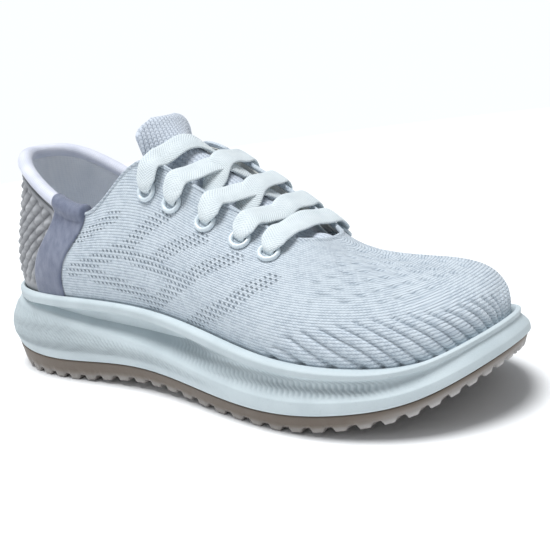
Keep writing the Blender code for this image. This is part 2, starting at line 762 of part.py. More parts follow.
def crossing(start, finish, lifts):
    """Stations of a strap pulled over the tongue, from one flap's edge to the other."""
    middle = (start + finish) / 2
    middle[2] = tongue_top(middle[0], middle[1]) + lifts[2]
    stations = []
    for share, lift in zip((0.14, 0.32, 0.5, 0.68, 0.86), lifts):
        if share < 0.5:
            x, y, z = start + (middle - start) * share * 2
        else:
            x, y, z = middle + (finish - middle) * (share * 2 - 1)
        top = tongue_top(x, y)
        normal = unit((top - tongue_top(x + 1, y), top - tongue_top(x, y + 1), 1))
        place = np.array([x, y, max(z, top + lift / normal[2])])
        width = np.cross(finish - start, (normal[0], 0, normal[2]))
        stations.append((place, (LACE_WIDTH, LACE_THICK), unit(width)))
    return stations


def lace_stations():
    """The whole lace from end to end: places, sizes across it and directions of its width."""
    stations = tail_stations(*LACE_ROUTE[0])[::-1]
    last = len(LACE_ROUTE) - 1
    for step, (row, side) in enumerate(LACE_ROUTE):
        passage = eyelet_stations(row, side, step in (LACE_RISES - 1, LACE_RISES))
        if step in (0, last):
            passage = passage[:-3]
        if step < LACE_RISES:
            passage = passage[::-1]
        if step:
            if step < LACE_RISES:
                lifts = HIGH_STRAP[::-1] if side == LATERAL else LOW_STRAP[::-1]
            elif step == LACE_RISES:
                lifts = FRONT_BAR
            else:
                lifts = HIGH_STRAP if side == MEDIAL else LOW_STRAP
            stations += crossing(stations[-1][0], passage[0][0], lifts)
        stations += passage
    return stations + tail_stations(*LACE_ROUTE[-1])


def lace(home):
    """Flat woven lace, swept whole along its route with rounded edges."""
    stations = lace_stations()
    places = np.array([place for place, _, _ in stations])
    sizes = np.array([size for _, size, _ in stations])
    widths = [stations[0][2]]
    for _, _, width in stations[1:]:
        widths.append(width if width @ widths[-1] > 0 else -width)
    reach = np.concatenate([[0], np.cumsum(np.linalg.norm(np.diff(places, axis=0), axis=1))])
    steps = [np.linspace(a, b, 2, endpoint=False) for a, b in zip(reach, reach[1:])]
    at = np.concatenate([*steps, reach[-1:]])
    path = spline(reach, places, at)
    size = np.column_stack([np.interp(at, reach, column) for column in sizes.T])
    across = np.column_stack([np.interp(at, reach, column) for column in np.array(widths).T])
    along = np.gradient(path, axis=0)
    along /= np.linalg.norm(along, axis=1)[:, None]
    across -= along * (across * along).sum(1)[:, None]
    across /= np.linalg.norm(across, axis=1)[:, None]
    up = np.cross(along, across)
    angles = (np.arange(LACE_SIDES) + 0.5) * 2 * math.pi / LACE_SIDES
    points, faces = [], []
    for i in range(len(path)):
        for angle in angles:
            side = np.sign(math.cos(angle)) * abs(math.cos(angle)) ** 0.4 * size[i, 0] / 2
            rise = np.sign(math.sin(angle)) * abs(math.sin(angle)) ** 0.8 * size[i, 1] / 2
            points.append(path[i] + across[i] * side + up[i] * rise)
    for i in range(len(path) - 1):
        for j in range(LACE_SIDES):
            a, b = i * LACE_SIDES + j, i * LACE_SIDES + (j + 1) % LACE_SIDES
            faces.append((a, b, b + LACE_SIDES, a + LACE_SIDES))
    faces.append(tuple(range(LACE_SIDES)))
    faces.append(tuple(len(points) - 1 - j for j in range(LACE_SIDES)))
    return mesh_object("lace", points, faces, "lace", home)


def build():
    clear_scene()
    home = collection("running_shoe")
    helpers = collection("cutters")
    outsole(home)
    midsole(home)
    strobel_board(home)
    insole(home)
    cutters = {side: [eyelet_cutter(row, side, helpers) for row in range(5)] for side in (LATERAL, MEDIAL)}
    knit_upper(home, cutters[LATERAL] + cutters[MEDIAL])
    heel_cap(home)
    collar_roll(home)
    linings(home)
    toe_puff(home)
    points, faces = eyelet_mesh()
    ring_object = mesh_object("eyelet_pattern", points, faces, "eyelet", home)
    for side in (LATERAL, MEDIAL):
        strap(side, home)
        eyestay(side, home, cutters[side])
        for row in range(5):
            eyelet(row, side, ring_object.data, home)
    bpy.data.objects.remove(ring_object)
    tongue(home)
    lace(home)
    centre()


build()
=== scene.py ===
"""Looks of the running shoe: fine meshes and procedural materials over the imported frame.

Lengths are in millimetres until a mesh is made. A place on the shoe is given by a turn t round
the sole (0 heel, 0 to 10 along the lateral side to the toe, 10 to 20 back along the medial side)
and a share v up the upper (-1 feather edge in the sole, 0 rim of the sole, 1 opening).
"""

import math

import bpy
import numpy as np
from mathutils import Matrix, Vector


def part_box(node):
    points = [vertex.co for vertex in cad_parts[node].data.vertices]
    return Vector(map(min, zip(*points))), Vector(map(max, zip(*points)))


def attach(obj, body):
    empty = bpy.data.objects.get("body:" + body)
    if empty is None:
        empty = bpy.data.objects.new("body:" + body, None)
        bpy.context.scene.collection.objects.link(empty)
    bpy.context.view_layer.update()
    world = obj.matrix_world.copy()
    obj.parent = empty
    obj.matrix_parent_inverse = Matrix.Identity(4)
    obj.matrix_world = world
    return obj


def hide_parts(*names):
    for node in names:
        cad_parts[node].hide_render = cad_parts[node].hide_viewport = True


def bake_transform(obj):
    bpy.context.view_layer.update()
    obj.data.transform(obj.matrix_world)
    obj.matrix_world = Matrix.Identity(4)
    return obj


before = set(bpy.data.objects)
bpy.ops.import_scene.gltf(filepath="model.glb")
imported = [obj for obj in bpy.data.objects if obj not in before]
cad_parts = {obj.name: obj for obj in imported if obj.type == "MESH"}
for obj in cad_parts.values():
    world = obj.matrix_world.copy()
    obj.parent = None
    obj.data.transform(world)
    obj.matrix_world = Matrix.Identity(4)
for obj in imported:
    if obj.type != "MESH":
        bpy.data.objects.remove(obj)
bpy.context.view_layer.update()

MM = 0.001

# Driving dimensions, in millimetres.
GAP = 0.3  # between pieces that touch
WALL_GAP = 0.5  # between the upper and the wall of the sole that it sits in
TURNS = 20.0  # t for one trip round the sole
TOE = 10.0  # t at the toe

# Sole outline: x, then y on the lateral and on the medial side. The two ends are single points.
HEEL_TIP = (-145.0, 0.0)
TOE_TIP = (140.8, 4.0)
OUTLINE_PAIRS = (
    (-136.5, -30.0, 28.0),
    (-103.0, -44.5, 41.0),
    (-64.0, -44.0, 38.5),
    (-25.0, -42.0, 36.0),
    (13.0, -46.5, 41.0),
    (52.0, -52.5, 50.0),
    (87.0, -51.0, 53.0),
    (117.0, -38.5, 44.5),
    (135.0, -18.0, 25.5),
)

# Heights along the sole, as pairs of x and z.
GROUND_LINE = ((-145, 5.5), (-125, 1.5), (-102, 0), (-75, 0), (-35, 3), (0, 2),
               (28, 0), (62, 0), (95, 4.0), (120, 10.0), (141, 21))
OUTSOLE_LINE = ((-145, 16.0), (-115, 12.5), (-80, 10.8), (-35, 11.8), (0, 10.2),
                (30, 8.3), (61, 8.0), (96, 11.0), (121, 16.5), (141, 26.5))
RIM_LINE = ((-145, 45.0), (-110, 44.5), (-80, 43.5), (-29, 41.0), (21, 35.5),
            (61, 29.4), (96, 27.2), (121, 28.8), (141, 36.0))
FOOTBED_LINE = ((-145, 33.0), (-100, 32), (-50, 30), (0, 26), (50, 20.5),
                (90, 19), (120, 20.5), (141, 26))

# Outsole tread.
LUGS = 34
GROOVE_DEPTH = 2.6

# Sculpted side of the midsole: the height share of its sweeping ridge, along x.
RIDGE_LINE = ((-145, 0.78), (-110, 0.76), (-80, 0.66), (-40, 0.46), (0, 0.34),
              (40, 0.30), (90, 0.32), (141, 0.38))
RIM_SHARE = 0.84  # the rim band is above this share of the side
HEEL_FLARE = 8.0  # how far the heel's low bulge stands out past its rim
BITE_INSET = ((-145, 14.0), (-125, 10.0), (-95, 7.0), (20, 6.5), (110, 7.0), (141, 7.5))
FEATHER_EXTRA = 4.0  # more inset at the bottom of the upper

# Boards in the shoe.
STROBEL_THICK = 1.7
INSOLE_THICK = 5.0
BOARD_EXTRA = 7.8  # inset of the boards past the bite line

# Layers of the upper, as depths under its outer surface.
KNIT_THICK = 1.5
LINING_DEPTH = KNIT_THICK + 2 * GAP
EYESTAY_DEPTH = KNIT_THICK + GAP
LINING_THICK = 0.6
TOP_LINE_TUBE = 3.7  # radius of the padded collar roll

# Opening of the upper: turn, x, y, z and the three offsets of the last Bezier handle.
OPENING = (
    (0.0, -130, 0, 110.5, -4, 0, -22),
    (0.8, -123, -13, 109.5, -4, -1, -22),
    (1.5, -107, -23.5, 102.5, -2, -3, -20),
    (2.2, -79, -29, 87.5, 0, -3.5, -15),
    (2.72, -59, -29.5, 82.5, 0, -4, -14),
    (3.2, -45, -26.5, 90.0, 0, -6, -18),
    (3.65, -33, -21.5, 101.0, 0, -9, -22),
    (4.1, -23.0, -18.5, 104.5, 1, -10, -24),
    (5.2, 2, -17.5, 94.0, 1, -12, -22),
    (6.1, 30, -16.0, 79.5, 2, -14, -17),
    (6.9, 50, -13.5, 69.4, 5, -18, -12),
    (7.6, 58.5, -9.5, 67.3, 12, -17, -11),
    (8.6, 62.5, -5.5, 66.4, 22, -10, -15),
)
# The medial edge of the throat stands further out than the lateral one, by turn.
MEDIAL_LEAN = ((0, 0), (2.2, 0), (3.2, 1.5), (4.1, 5), (6.9, 5), (8.6, 2), (10, 0))
# The medial side of the vamp is flatter: how much its last handle drops, by turn.
MEDIAL_DROP = ((0, 0), (5.2, 0), (6.1, 4), (6.9, 8.5), (7.6, 9.5), (8.6, 4.5), (10, 0))
OPENING_TOE = (64, 0, 66.0, 24, 0, -20)
# The length of the first Bezier handle, by turn.
FIRST_HANDLE = ((0, 20), (3, 24), (5, 24), (7, 20), (8.5, 24), (10, 33), (11, 35.5), (11.8, 27),
                (13, 16), (15, 24), (17, 24), (20, 20))
FIRST_HANDLE_LEAN = 0.14  # outward lean of that handle, as a share of its length

# Turns where the pieces of the upper meet.
CAP_END = 2.2
STRAP_END = 2.72
LINING_SPLIT = 3.75

# Eyelets, from the ankle to the toe.
EYELET_TURNS = (4.27, 4.92, 5.56, 6.11, 6.61)
EYELET_SHARE = 0.81
EYELET_HOLE = 2.9
EYELET_BARREL = 3.4
EYELET_FLANGE = 4.8
EYELET_BACK_FLANGE = 4.3

# Tongue: x and z of its outer face along the crown, its half width, the crown's y and
# how fast its cross-section drops away from the crown, per mm.
TONGUE_LINE = (
    (72, 56.0, 9.0, 0.5, 0.045),
    (62, 60.5, 13.0, 1, 0.05),
    (50, 66.5, 15.5, 2, 0.055),
    (39, 73.8, 17.0, 3, 0.055),
    (25, 82.8, 17.5, 3, 0.055),
    (5, 95.8, 17.5, 3, 0.055),
    (-8, 104.5, 17.5, 3.5, 0.055),
    (-17, 111.5, 16.8, 3.0, 0.052),
    (-20, 114.4, 17.4, 3.2, 0.04),
    (-23, 117.9, 18.2, 3.8, 0.027),
    (-25.2, 121.3, 15.5, 4.2, 0.021),
    (-26.0, 123.3, 8.5, 4.4, 0.018),
)
TONGUE_SHOULDER = 12.0  # past this distance from the crown it drops straight

# Flat lace.
LACE_WIDTH = 9.6
LACE_THICK = 1.5
LACE_BUNCH = (3.4, 1.9)  # its width and thickness inside an eyelet
LACE_UNDER = (6.5, 1.2)  # the same, where it runs under a flap
# Eyelets in the order the lace meets them. It comes up through the first four.
LACE_ROUTE = ((1, -1), (2, 1), (3, -1), (4, 1), (4, -1), (3, 1), (2, -1), (1, 1), (0, -1))
LACE_RISES = 4
LOW_STRAP = (1.3, 2.0, 3.2, 4.4, 4.6)  # lift over the tongue, from the flap it leaves under
HIGH_STRAP = (1.3, 3.4, 5.2, 6.2, 5.6)
FRONT_BAR = (4.8, 5.4, 5.6, 5.4, 4.8)

LATERAL, MEDIAL = -1, 1

# The finer dimensions of the looks, in millimetres.
KNIT_START = 2.6  # turn where the knit starts, under the strap
KNIT_WALE = 1.35  # distance between wales
KNIT_STITCH = 1.35  # length of a stitch
HOLE_PITCH = 2.6  # open-mesh bands
HOLE_RADIUS = 0.62
# Middle lines of the open-mesh bands: x, and distance up from the rim.
MESH_BANDS = (
    ((-63, 31), (-36, 41.5)),
    ((-65, 13.5), (-27, 27), (-5, 47.5)),
    ((-27, 23.5), (11, 18.5)),
    ((-11.5, 20.5), (17, 46)),
    ((-13.5, 1.5), (11, 18.5), (36, 43.5)),
    ((11, -2), (40, 17.5), (56, 38.5)),
    ((-50.5, 12.5), (-12, 5)),
)
# Slanted grooves round the toe: where each ends, as distance up from the rim by turn.
FLUTE_START = 6.0
FLUTE_TOP = ((5.8, 3), (6.3, 5.2), (6.55, 10.5), (6.8, 13.8), (7.3, 17.8), (7.8, 20), (8.3, 19),
             (8.8, 16), (9.3, 14.6), (10, 11.5))
# Turns where the grooves, counted from 0, start at the top and reach the rim.
FLUTE_HEADS = ((5.77, -2), (6.29, 0), (7.54, 5), (8.81, 10), (9.33, 12), (9.83, 14), (10.1, 15))
FLUTE_FEET = ((5.85, -2), (6.65, 0), (7.46, 2), (7.92, 4), (8.41, 6), (8.83, 8), (9.3, 10),
              (9.75, 12), (10.0, 14), (10.1, 15))
FLUTE_DEPTH = 1.25
# Slots in the vamp: first one, step along a line of them and step to the next line.
DIMPLE_MIDDLE = 4.0
DIMPLE_ORIGIN = (78.9, 37.0)
DIMPLE_STEP = (4.2, -4.7)
DIMPLE_ROW = (-5.1, -4.0)
DIMPLE_AXIS = (0.957, -0.29)
DIMPLE_SIZE = (2.5, 0.8)  # half length and half width
DIMPLE_DEPTH = 0.85
LACE_PLUMP = 1.15  # the woven lace is that much fuller than the frame's
UNDERCUT = 4.6  # how much deeper the hollow under the rim is than the frame's
THROAT_FILL = 4.2  # how much the padding lifts the tongue where the throat ends
TONGUE_DEEP = 5.4  # from the tongue's outer face to its lining's
# The wall that the upper sits in, from its top down: extra inset and height over the rim line.
INNER_WALL = ((0.8, 0.05), (0.35, -0.2), (0.0, -0.7), (-0.1, -1.9))
MIDSOLE_LEVELS = (0.0, 0.15, 0.3, 0.45, 0.6, 0.72, 0.84, 0.94, 1.0)
# Edge of the outsole from the ground up: share of its height, inset and depth of the grooves.
TREAD_ROWS = (
    (0.0, 4.6, 1.0), (0.0, 3.6, 1.0), (0.04, 2.9, 1.0), (0.12, 2.55, 0.95), (0.24, 2.3, 0.8),
    (0.38, 2.1, 0.5), (0.5, 1.95, 0.2), (0.6, 1.8, 0.0), (0.75, 1.5, 0.0), (0.9, 1.3, 0.0),
    (1.0, 1.25, 0.0),
)
# Raised edge of the footbed: extra inset and height over its underside.
INSOLE_ROWS = (
    (0.0, 1.2), (0.0, 3.0), (0.0, INSOLE_THICK + 0.6), (0.35, INSOLE_THICK + 1.1),
    (1.0, INSOLE_THICK + 1.2), (2.2, INSOLE_THICK + 0.8), (4.0, INSOLE_THICK + 0.25),
    (6.0, INSOLE_THICK),
)
# Piped top edge of the knit: distance past the opening, and depth under the outer surface.
KNIT_EDGE = (
    (-1.9, 0.12), (-1.5, 0.1), (-1.1, -0.25), (-0.6, -0.5), (0.0, -0.5), (0.5, -0.15),
    (0.75, 0.5), (0.6, 1.15), (0.1, 1.6), (-0.8, 1.75), (-2.5, 1.7), (-6.0, 1.7), (-10.0, 1.75),
)
STRAP_SPARE = 0.03  # turns that a strap reaches past its frame's, at either edge
SCALE_WIDE = 8.0  # lozenges of the heel cap
SCALE_TALL = 9.6
SCALE_DEPTH = 2.1

SKY_LIGHT = 0.3  # strength of the sky as a light
SKY_SEEN = 1.05  # and as the camera sees it
SUN_ENERGY = 3.25
SUN_ANGLE = 30  # apparent size of the overhead light in degrees, which softens its shadows
SUN_AIM = (0.08, 0.14, -1)
FLOOR_RADIUS = 1.25  # in metres, as all of the stage is
CAMERA_ANGLES = (40.5, 13.9, -8.2)  # azimuth, elevation and roll in degrees
CAMERA_PLACE = (0.26425, -0.27314, 0.13657)
CAMERA_LENS = 54.13


# ---------------------------------------------------------------- curves


def spline(knots, values, at, period=None):
    """Cubic spline through values at knots, natural at its ends or closed over a period."""
    knots = np.asarray(knots, float)
    values = np.asarray(values, float).reshape(len(knots), -1)
    at = np.atleast_1d(np.asarray(at, float))
    if period:
        knots = np.append(knots, knots[0] + period)
        values = np.vstack([values, values[:1]])
        at = (at - knots[0]) % period + knots[0]
    last = len(knots) - 1
    step = np.diff(knots)
    rise = np.diff(values, axis=0) / step[:, None]
    system = np.eye(last + 1)
    right = np.zeros_like(values)
    for i in range(1, last):
        system[i, i - 1 : i + 2] = step[i - 1], 2 * (step[i - 1] + step[i]), step[i]
        right[i] = 6 * (rise[i] - rise[i - 1])
    if period:
        system[0] = 0
        system[0, [0, 1, last - 1]] = 2 * (step[0] + step[-1]), step[0], step[-1]
        right[0] = 6 * (rise[0] - rise[-1])
        system[last, 0] = -1
    bend = np.linalg.solve(system, right)
    i = np.clip(np.searchsorted(knots, at, side="right") - 1, 0, last - 1)
    a = ((knots[i + 1] - at) / step[i])[:, None]
    b = 1 - a
    curve = a * values[i] + b * values[i + 1]
    return curve + ((a**3 - a) * bend[i] + (b**3 - b) * bend[i + 1]) * (step[i] ** 2)[:, None] / 6


def distances(points):
    """Distance along a line of points, from the first to each of them."""
    return np.concatenate([[0], np.cumsum(np.linalg.norm(np.diff(points, axis=0), axis=1))])


def height(line, x):
    """The z of a height line at x. Past the ends of the line it stays level."""
    line = np.array(line, float)
    return spline(line[:, 0], line[:, 1], np.clip(x, line[0, 0], line[-1, 0]))[:, 0]


def outline(t):
    """Points of the sole outline at turns t."""
    points = [HEEL_TIP]
    points += [(x, lateral) for x, lateral, _ in OUTLINE_PAIRS]
    points.append(TOE_TIP)
    points += [(x, medial) for x, _, medial in reversed(OUTLINE_PAIRS)]
    return spline(np.arange(len(points)), points, t, TURNS)


def outward(t):
    """Unit normals of the outline, pointing away from the shoe."""
    along = outline(t + 0.01) - outline(t - 0.01)
    normal = np.column_stack([along[:, 1], -along[:, 0]])
    return normal / np.linalg.norm(normal, axis=1)[:, None]


def ring(t, inset, line, lift=0.0):
    """A closed ring: the outline moved in by inset, at the height of a line plus lift."""
    flat = outline(t) - outward(t) * np.reshape(inset, (-1, 1))
    return np.column_stack([flat, height(line, flat[:, 0]) + lift])


def bite_inset(t):
    """Distance from the outline in to the line where the upper meets the rim."""
    return height(BITE_INSET, outline(t)[:, 0])


# ---------------------------------------------------------------- surface of the upper


def opening_keys():
    """The opening and its handle all the way round, as turns and six values each."""
    turns = [row[0] for row in OPENING] + [TOE]
    values = [row[1:] for row in OPENING] + [OPENING_TOE]
    for turn, x, y, z, hx, hy, hz in reversed(OPENING[1:]):
        turns.append(TURNS - turn)
        lean, drop = (height(line, np.array([turn]))[0] for line in (MEDIAL_LEAN, MEDIAL_DROP))
        values.append((x, lean - y, z + (lean - drop) / 4, hx, -hy - drop / 3, hz - drop))
    return turns, values


def opening(t):
    turns, values = opening_keys()
    return spline(turns, values, t, TURNS)


def rib_points(t, v):
    """Points of the upper's outer surface at turns t and shares v.

    v is -1 at the feather edge in the sole, 0 at the rim of the sole and 1 at the opening.
    """
    t, v = np.broadcast_arrays(np.asarray(t, float), np.asarray(v, float))
    shape = t.shape
    t, v = t.ravel(), v.ravel()
    bite = ring(t, bite_inset(t), RIM_LINE)
    feather = ring(t, bite_inset(t) + FEATHER_EXTRA, FOOTBED_LINE, GAP)
    top = opening(t)
    length = height(FIRST_HANDLE, t % TURNS)
    lean = np.column_stack([outward(t) * FIRST_HANDLE_LEAN, np.ones(len(t))])
    first = bite + lean * length[:, None]
    second = top[:, :3] + top[:, 3:]
    s = np.clip(v, 0, 1)[:, None]
    curve = bite * (1 - s) ** 3 + first * 3 * s * (1 - s) ** 2
    curve += second * 3 * s**2 * (1 - s) + top[:, :3] * s**3
    below = np.clip(-v, 0, 1)[:, None]
    return (curve * (1 - below) + feather * below).reshape(*shape, 3)


def rib_normals(t, v):
    """Unit normals of the upper's outer surface, pointing out."""
    t, v = np.broadcast_arrays(np.asarray(t, float), np.asarray(v, float))
    v = np.clip(v, -1, 0.98)
    around = rib_points(t + 0.02, v) - rib_points(t - 0.02, v)
    up = rib_points(t, v + 0.02) - rib_points(t, v - 0.005)
    normal = np.cross(around, up)
    return normal / np.linalg.norm(normal, axis=-1, keepdims=True)


def upper(t, v, depth=0.0):
    """Points at a depth under the upper's outer surface."""
    return rib_points(t, v) - rib_normals(t, v) * np.asarray(depth)[..., None]


def side_inset(x, share):
    """How far the midsole's side lies inside the outline, at a share of its height.

    A ridge sweeps from under the rim at the heel down to the lower edge at the ball.
    Over it the side is hollow up to the rim band, and under it the heel bulges out.
    """
    ridge = height(RIDGE_LINE, x)
    heel = np.clip((20 - x) / 110, 0, 1)
    tip = np.clip((-100 - x) / 40, 0, 1)
    toe = np.clip((x - 100) / 35, 0, 1)
    rim_edge = 1.2 + 1.6 * heel + (HEEL_FLARE - 1.5) * tip + 2.0 * toe
    ridge_inset = 0.4 + 4.2 * heel + 3.0 * tip
    above = np.clip((share - ridge) / np.maximum(RIM_SHARE - ridge, 0.02), 0, 1)
    depth = (2.8 + 11.0 * heel * (1 - heel)) * (1 - toe) * (1 - tip)
    hollow = depth * np.clip((RIM_SHARE - ridge) / 0.3, 0, 1) * np.sin(math.pi * above)
    below = np.clip((ridge - share) / np.maximum(ridge, 0.02), 0, 1)
    bulge = ridge_inset * (1 - np.sin(math.pi / 2 * np.clip(below / 0.7, 0, 1)))
    foot = 1.2 * np.clip((below - 0.7) / 0.3, 0, 1) ** 2
    over = ridge_inset * (1 - above) + rim_edge * above + hollow
    inset = np.where(share > ridge, over, bulge + foot)
    rounding = 1.6 * np.clip((share - 0.94) / 0.06, 0, 1) ** 2
    return inset + rounding


def tongue_surface(s, across):
    """Outer face of the tongue, along its length s from 0 to 1 and across it from -1 to 1."""
    keys = np.array(TONGUE_LINE, float)
    reach = distances(keys[:, :2])
    x, z, half, crown, sag = spline(reach, keys, np.ravel(s) * reach[-1]).T
    slope_x, slope_z = np.gradient(x), np.gradient(z)
    size = np.hypot(slope_x, slope_z)
    side = half[:, None] * np.ravel(across)[None, :]
    far = np.abs(side)
    drop = np.minimum(far, TONGUE_SHOULDER) ** 2
    drop = sag[:, None] * (drop + 2 * TONGUE_SHOULDER * np.maximum(far - TONGUE_SHOULDER, 0))
    out_x, out_z = slope_z / size, -slope_x / size
    places = (x[:, None] - out_x[:, None] * drop, crown[:, None] + side,
              z[:, None] - out_z[:, None] * drop)
    return np.stack(places, -1)


def grid_normals(grid):
    """Unit normals of a grid of points, on the side with the higher z."""
    normal = np.cross(np.gradient(grid, axis=0), np.gradient(grid, axis=1))
    normal /= np.linalg.norm(normal, axis=-1, keepdims=True)
    return normal * np.sign(normal[..., 2:].sum())


def tongue_top(x, y):
    """Height of the tongue's outer face over a place in plan view."""
    keys = np.array(TONGUE_LINE, float)[::-1]
    z, crown, sag = spline(keys[:, 0], keys[:, [1, 3, 4]], x)[0]
    ahead, behind = (spline(keys[:, 0], keys[:, 1], x + step)[0, 0] for step in (1, -1))
    slope = (ahead - behind) / 2
    far = abs(y - crown)
    straight = 2 * TONGUE_SHOULDER * max(far - TONGUE_SHOULDER, 0)
    drop = sag * (min(far, TONGUE_SHOULDER) ** 2 + straight)
    return z - drop * math.hypot(1, slope)


def flap_station(row, side, shift, share, lift, size):
    """A station by an eyelet: shifted along the flap, at a share of it and lifted off it."""
    t = EYELET_TURNS[row] + shift
    t = t if side == LATERAL else TURNS - t
    place = rib_points(t, share).reshape(3) + rib_normals(t, share).reshape(3) * lift
    return place, size, unit(rib_points(t + 0.05, share) - rib_points(t - 0.05, share))


def tail_stations(row, side):
    """Stations of an end that hangs down inside the shoe, from just under its eyelet."""
    places = ((-0.10, 0.75, -5.4), (-0.22, 0.66, -6.0), (-0.32, 0.56, -6.0), (-0.40, 0.45, -6.0))
    return [flap_station(row, side, *place, LACE_UNDER) for place in places]


# ---------------------------------------------------------------- meshes


def unit(vectors):
    return vectors / np.linalg.norm(vectors, axis=-1, keepdims=True)


def quads(rows, columns, loop_rows=False, loop_columns=False):
    """Faces of a grid of points, which may close on itself either way."""
    i = np.arange(rows if loop_rows else rows - 1)[:, None]
    j = np.arange(columns if loop_columns else columns - 1)[None, :]
    k, n = (i + 1) % rows, (j + 1) % columns
    corners = [i * columns + j, k * columns + j, k * columns + n, i * columns + n]
    return np.stack(corners, -1).reshape(-1, 4)


def ladder(near, far, rungs):
    """Points of a flat strip between two matching lines, as a grid of len(near) by rungs + 1."""
    share = np.linspace(0, 1, rungs + 1)[None, :, None]
    return near[:, None] * (1 - share) + far[:, None] * share


def piece(name, grids, look, body="shoe", replaces=(), loops=(False, False)):
    """A smooth mesh of one or more grids of points in millimetres, in the place of its CAD nodes.

    Each grid comes with a chart, which holds millimetres along and across the cloth and a mask
    for the material, which on the foam and the heel cap is the amount of painted light and shade.
    Loops say which grids close on themselves, along and across.
    """
    points, faces, charts, offset = [], [], [], 0
    if isinstance(loops[0], bool):
        loops = [loops] * len(grids)
    for (grid, chart), closed in zip(grids, loops):
        rows, columns = grid.shape[:2]
        points.append(grid.reshape(-1, 3))
        faces.append(quads(rows, columns, *closed) + offset)
        charts.append(np.broadcast_to(chart, (rows, columns, 3)).reshape(-1, 3))
        offset += rows * columns
    points = (np.concatenate(points) + SHIFT) * MM
    faces = np.concatenate(faces)
    mesh = bpy.data.meshes.new(name)
    mesh.vertices.add(len(points))
    mesh.vertices.foreach_set("co", points.astype(np.float32).ravel())
    mesh.loops.add(faces.size)
    mesh.loops.foreach_set("vertex_index", faces.astype(np.int32).ravel())
    mesh.polygons.add(len(faces))
    mesh.polygons.foreach_set("loop_start", np.arange(0, faces.size, 4, dtype=np.int32))
    mesh.update(calc_edges=True)
    layer = mesh.attributes.new("chart", "FLOAT_VECTOR", "POINT")
    layer.data.foreach_set("vector", np.concatenate(charts).astype(np.float32).ravel())
    mesh.validate()
    mesh.shade_smooth()
    made = bpy.data.objects.new(name, mesh)
    bpy.context.scene.collection.objects.link(made)
    mesh.materials.append(look)
    if replaces:
        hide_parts(*replaces)
    if body:
        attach(made, body)
    return made


# ---------------------------------------------------------------- materials


class Field:
    """A number in a material's node tree, used in formulas like a Python number."""

    def __init__(self, tree, socket):
        self.tree, self.socket = tree, socket

    def math(self, operation, *others, clamp=False):
        node = self.tree.nodes.new("ShaderNodeMath")
        node.operation, node.use_clamp = operation, clamp
        for slot, value in zip(node.inputs, (self, *others)):
            plug(self.tree, value, slot)
        return Field(self.tree, node.outputs[0])

    def __add__(self, other):
        return self.math("ADD", other)

    def __sub__(self, other):
        return self.math("SUBTRACT", other)

    def __mul__(self, other):
        return self.math("MULTIPLY", other)

    def __neg__(self):
        return self * -1.0

    __radd__, __rmul__ = __add__, __mul__

    def __rsub__(self, other):
        return self.math("MULTIPLY_ADD", -1.0, other)

    def wave(self):
        """A cosine with period 1 in this value, from 0 to 1 with its peaks at whole numbers."""
        return (self * math.tau).math("COSINE") * 0.5 + 0.5

    def smooth(self, low, high):
        """0 below low, 1 above high and smooth between."""
        node = self.tree.nodes.new("ShaderNodeMapRange")
        node.interpolation_type = "SMOOTHSTEP"
        plug(self.tree, self, node.inputs["Value"])
        plug(self.tree, low, node.inputs["From Min"])
        plug(self.tree, high, node.inputs["From Max"])
        return Field(self.tree, node.outputs[0])


def plug(tree, value, slot):
    """Feeds a number or a Field to a node's input."""
    if isinstance(value, Field):
        tree.links.new(value.socket, slot)
    else:
        slot.default_value = value


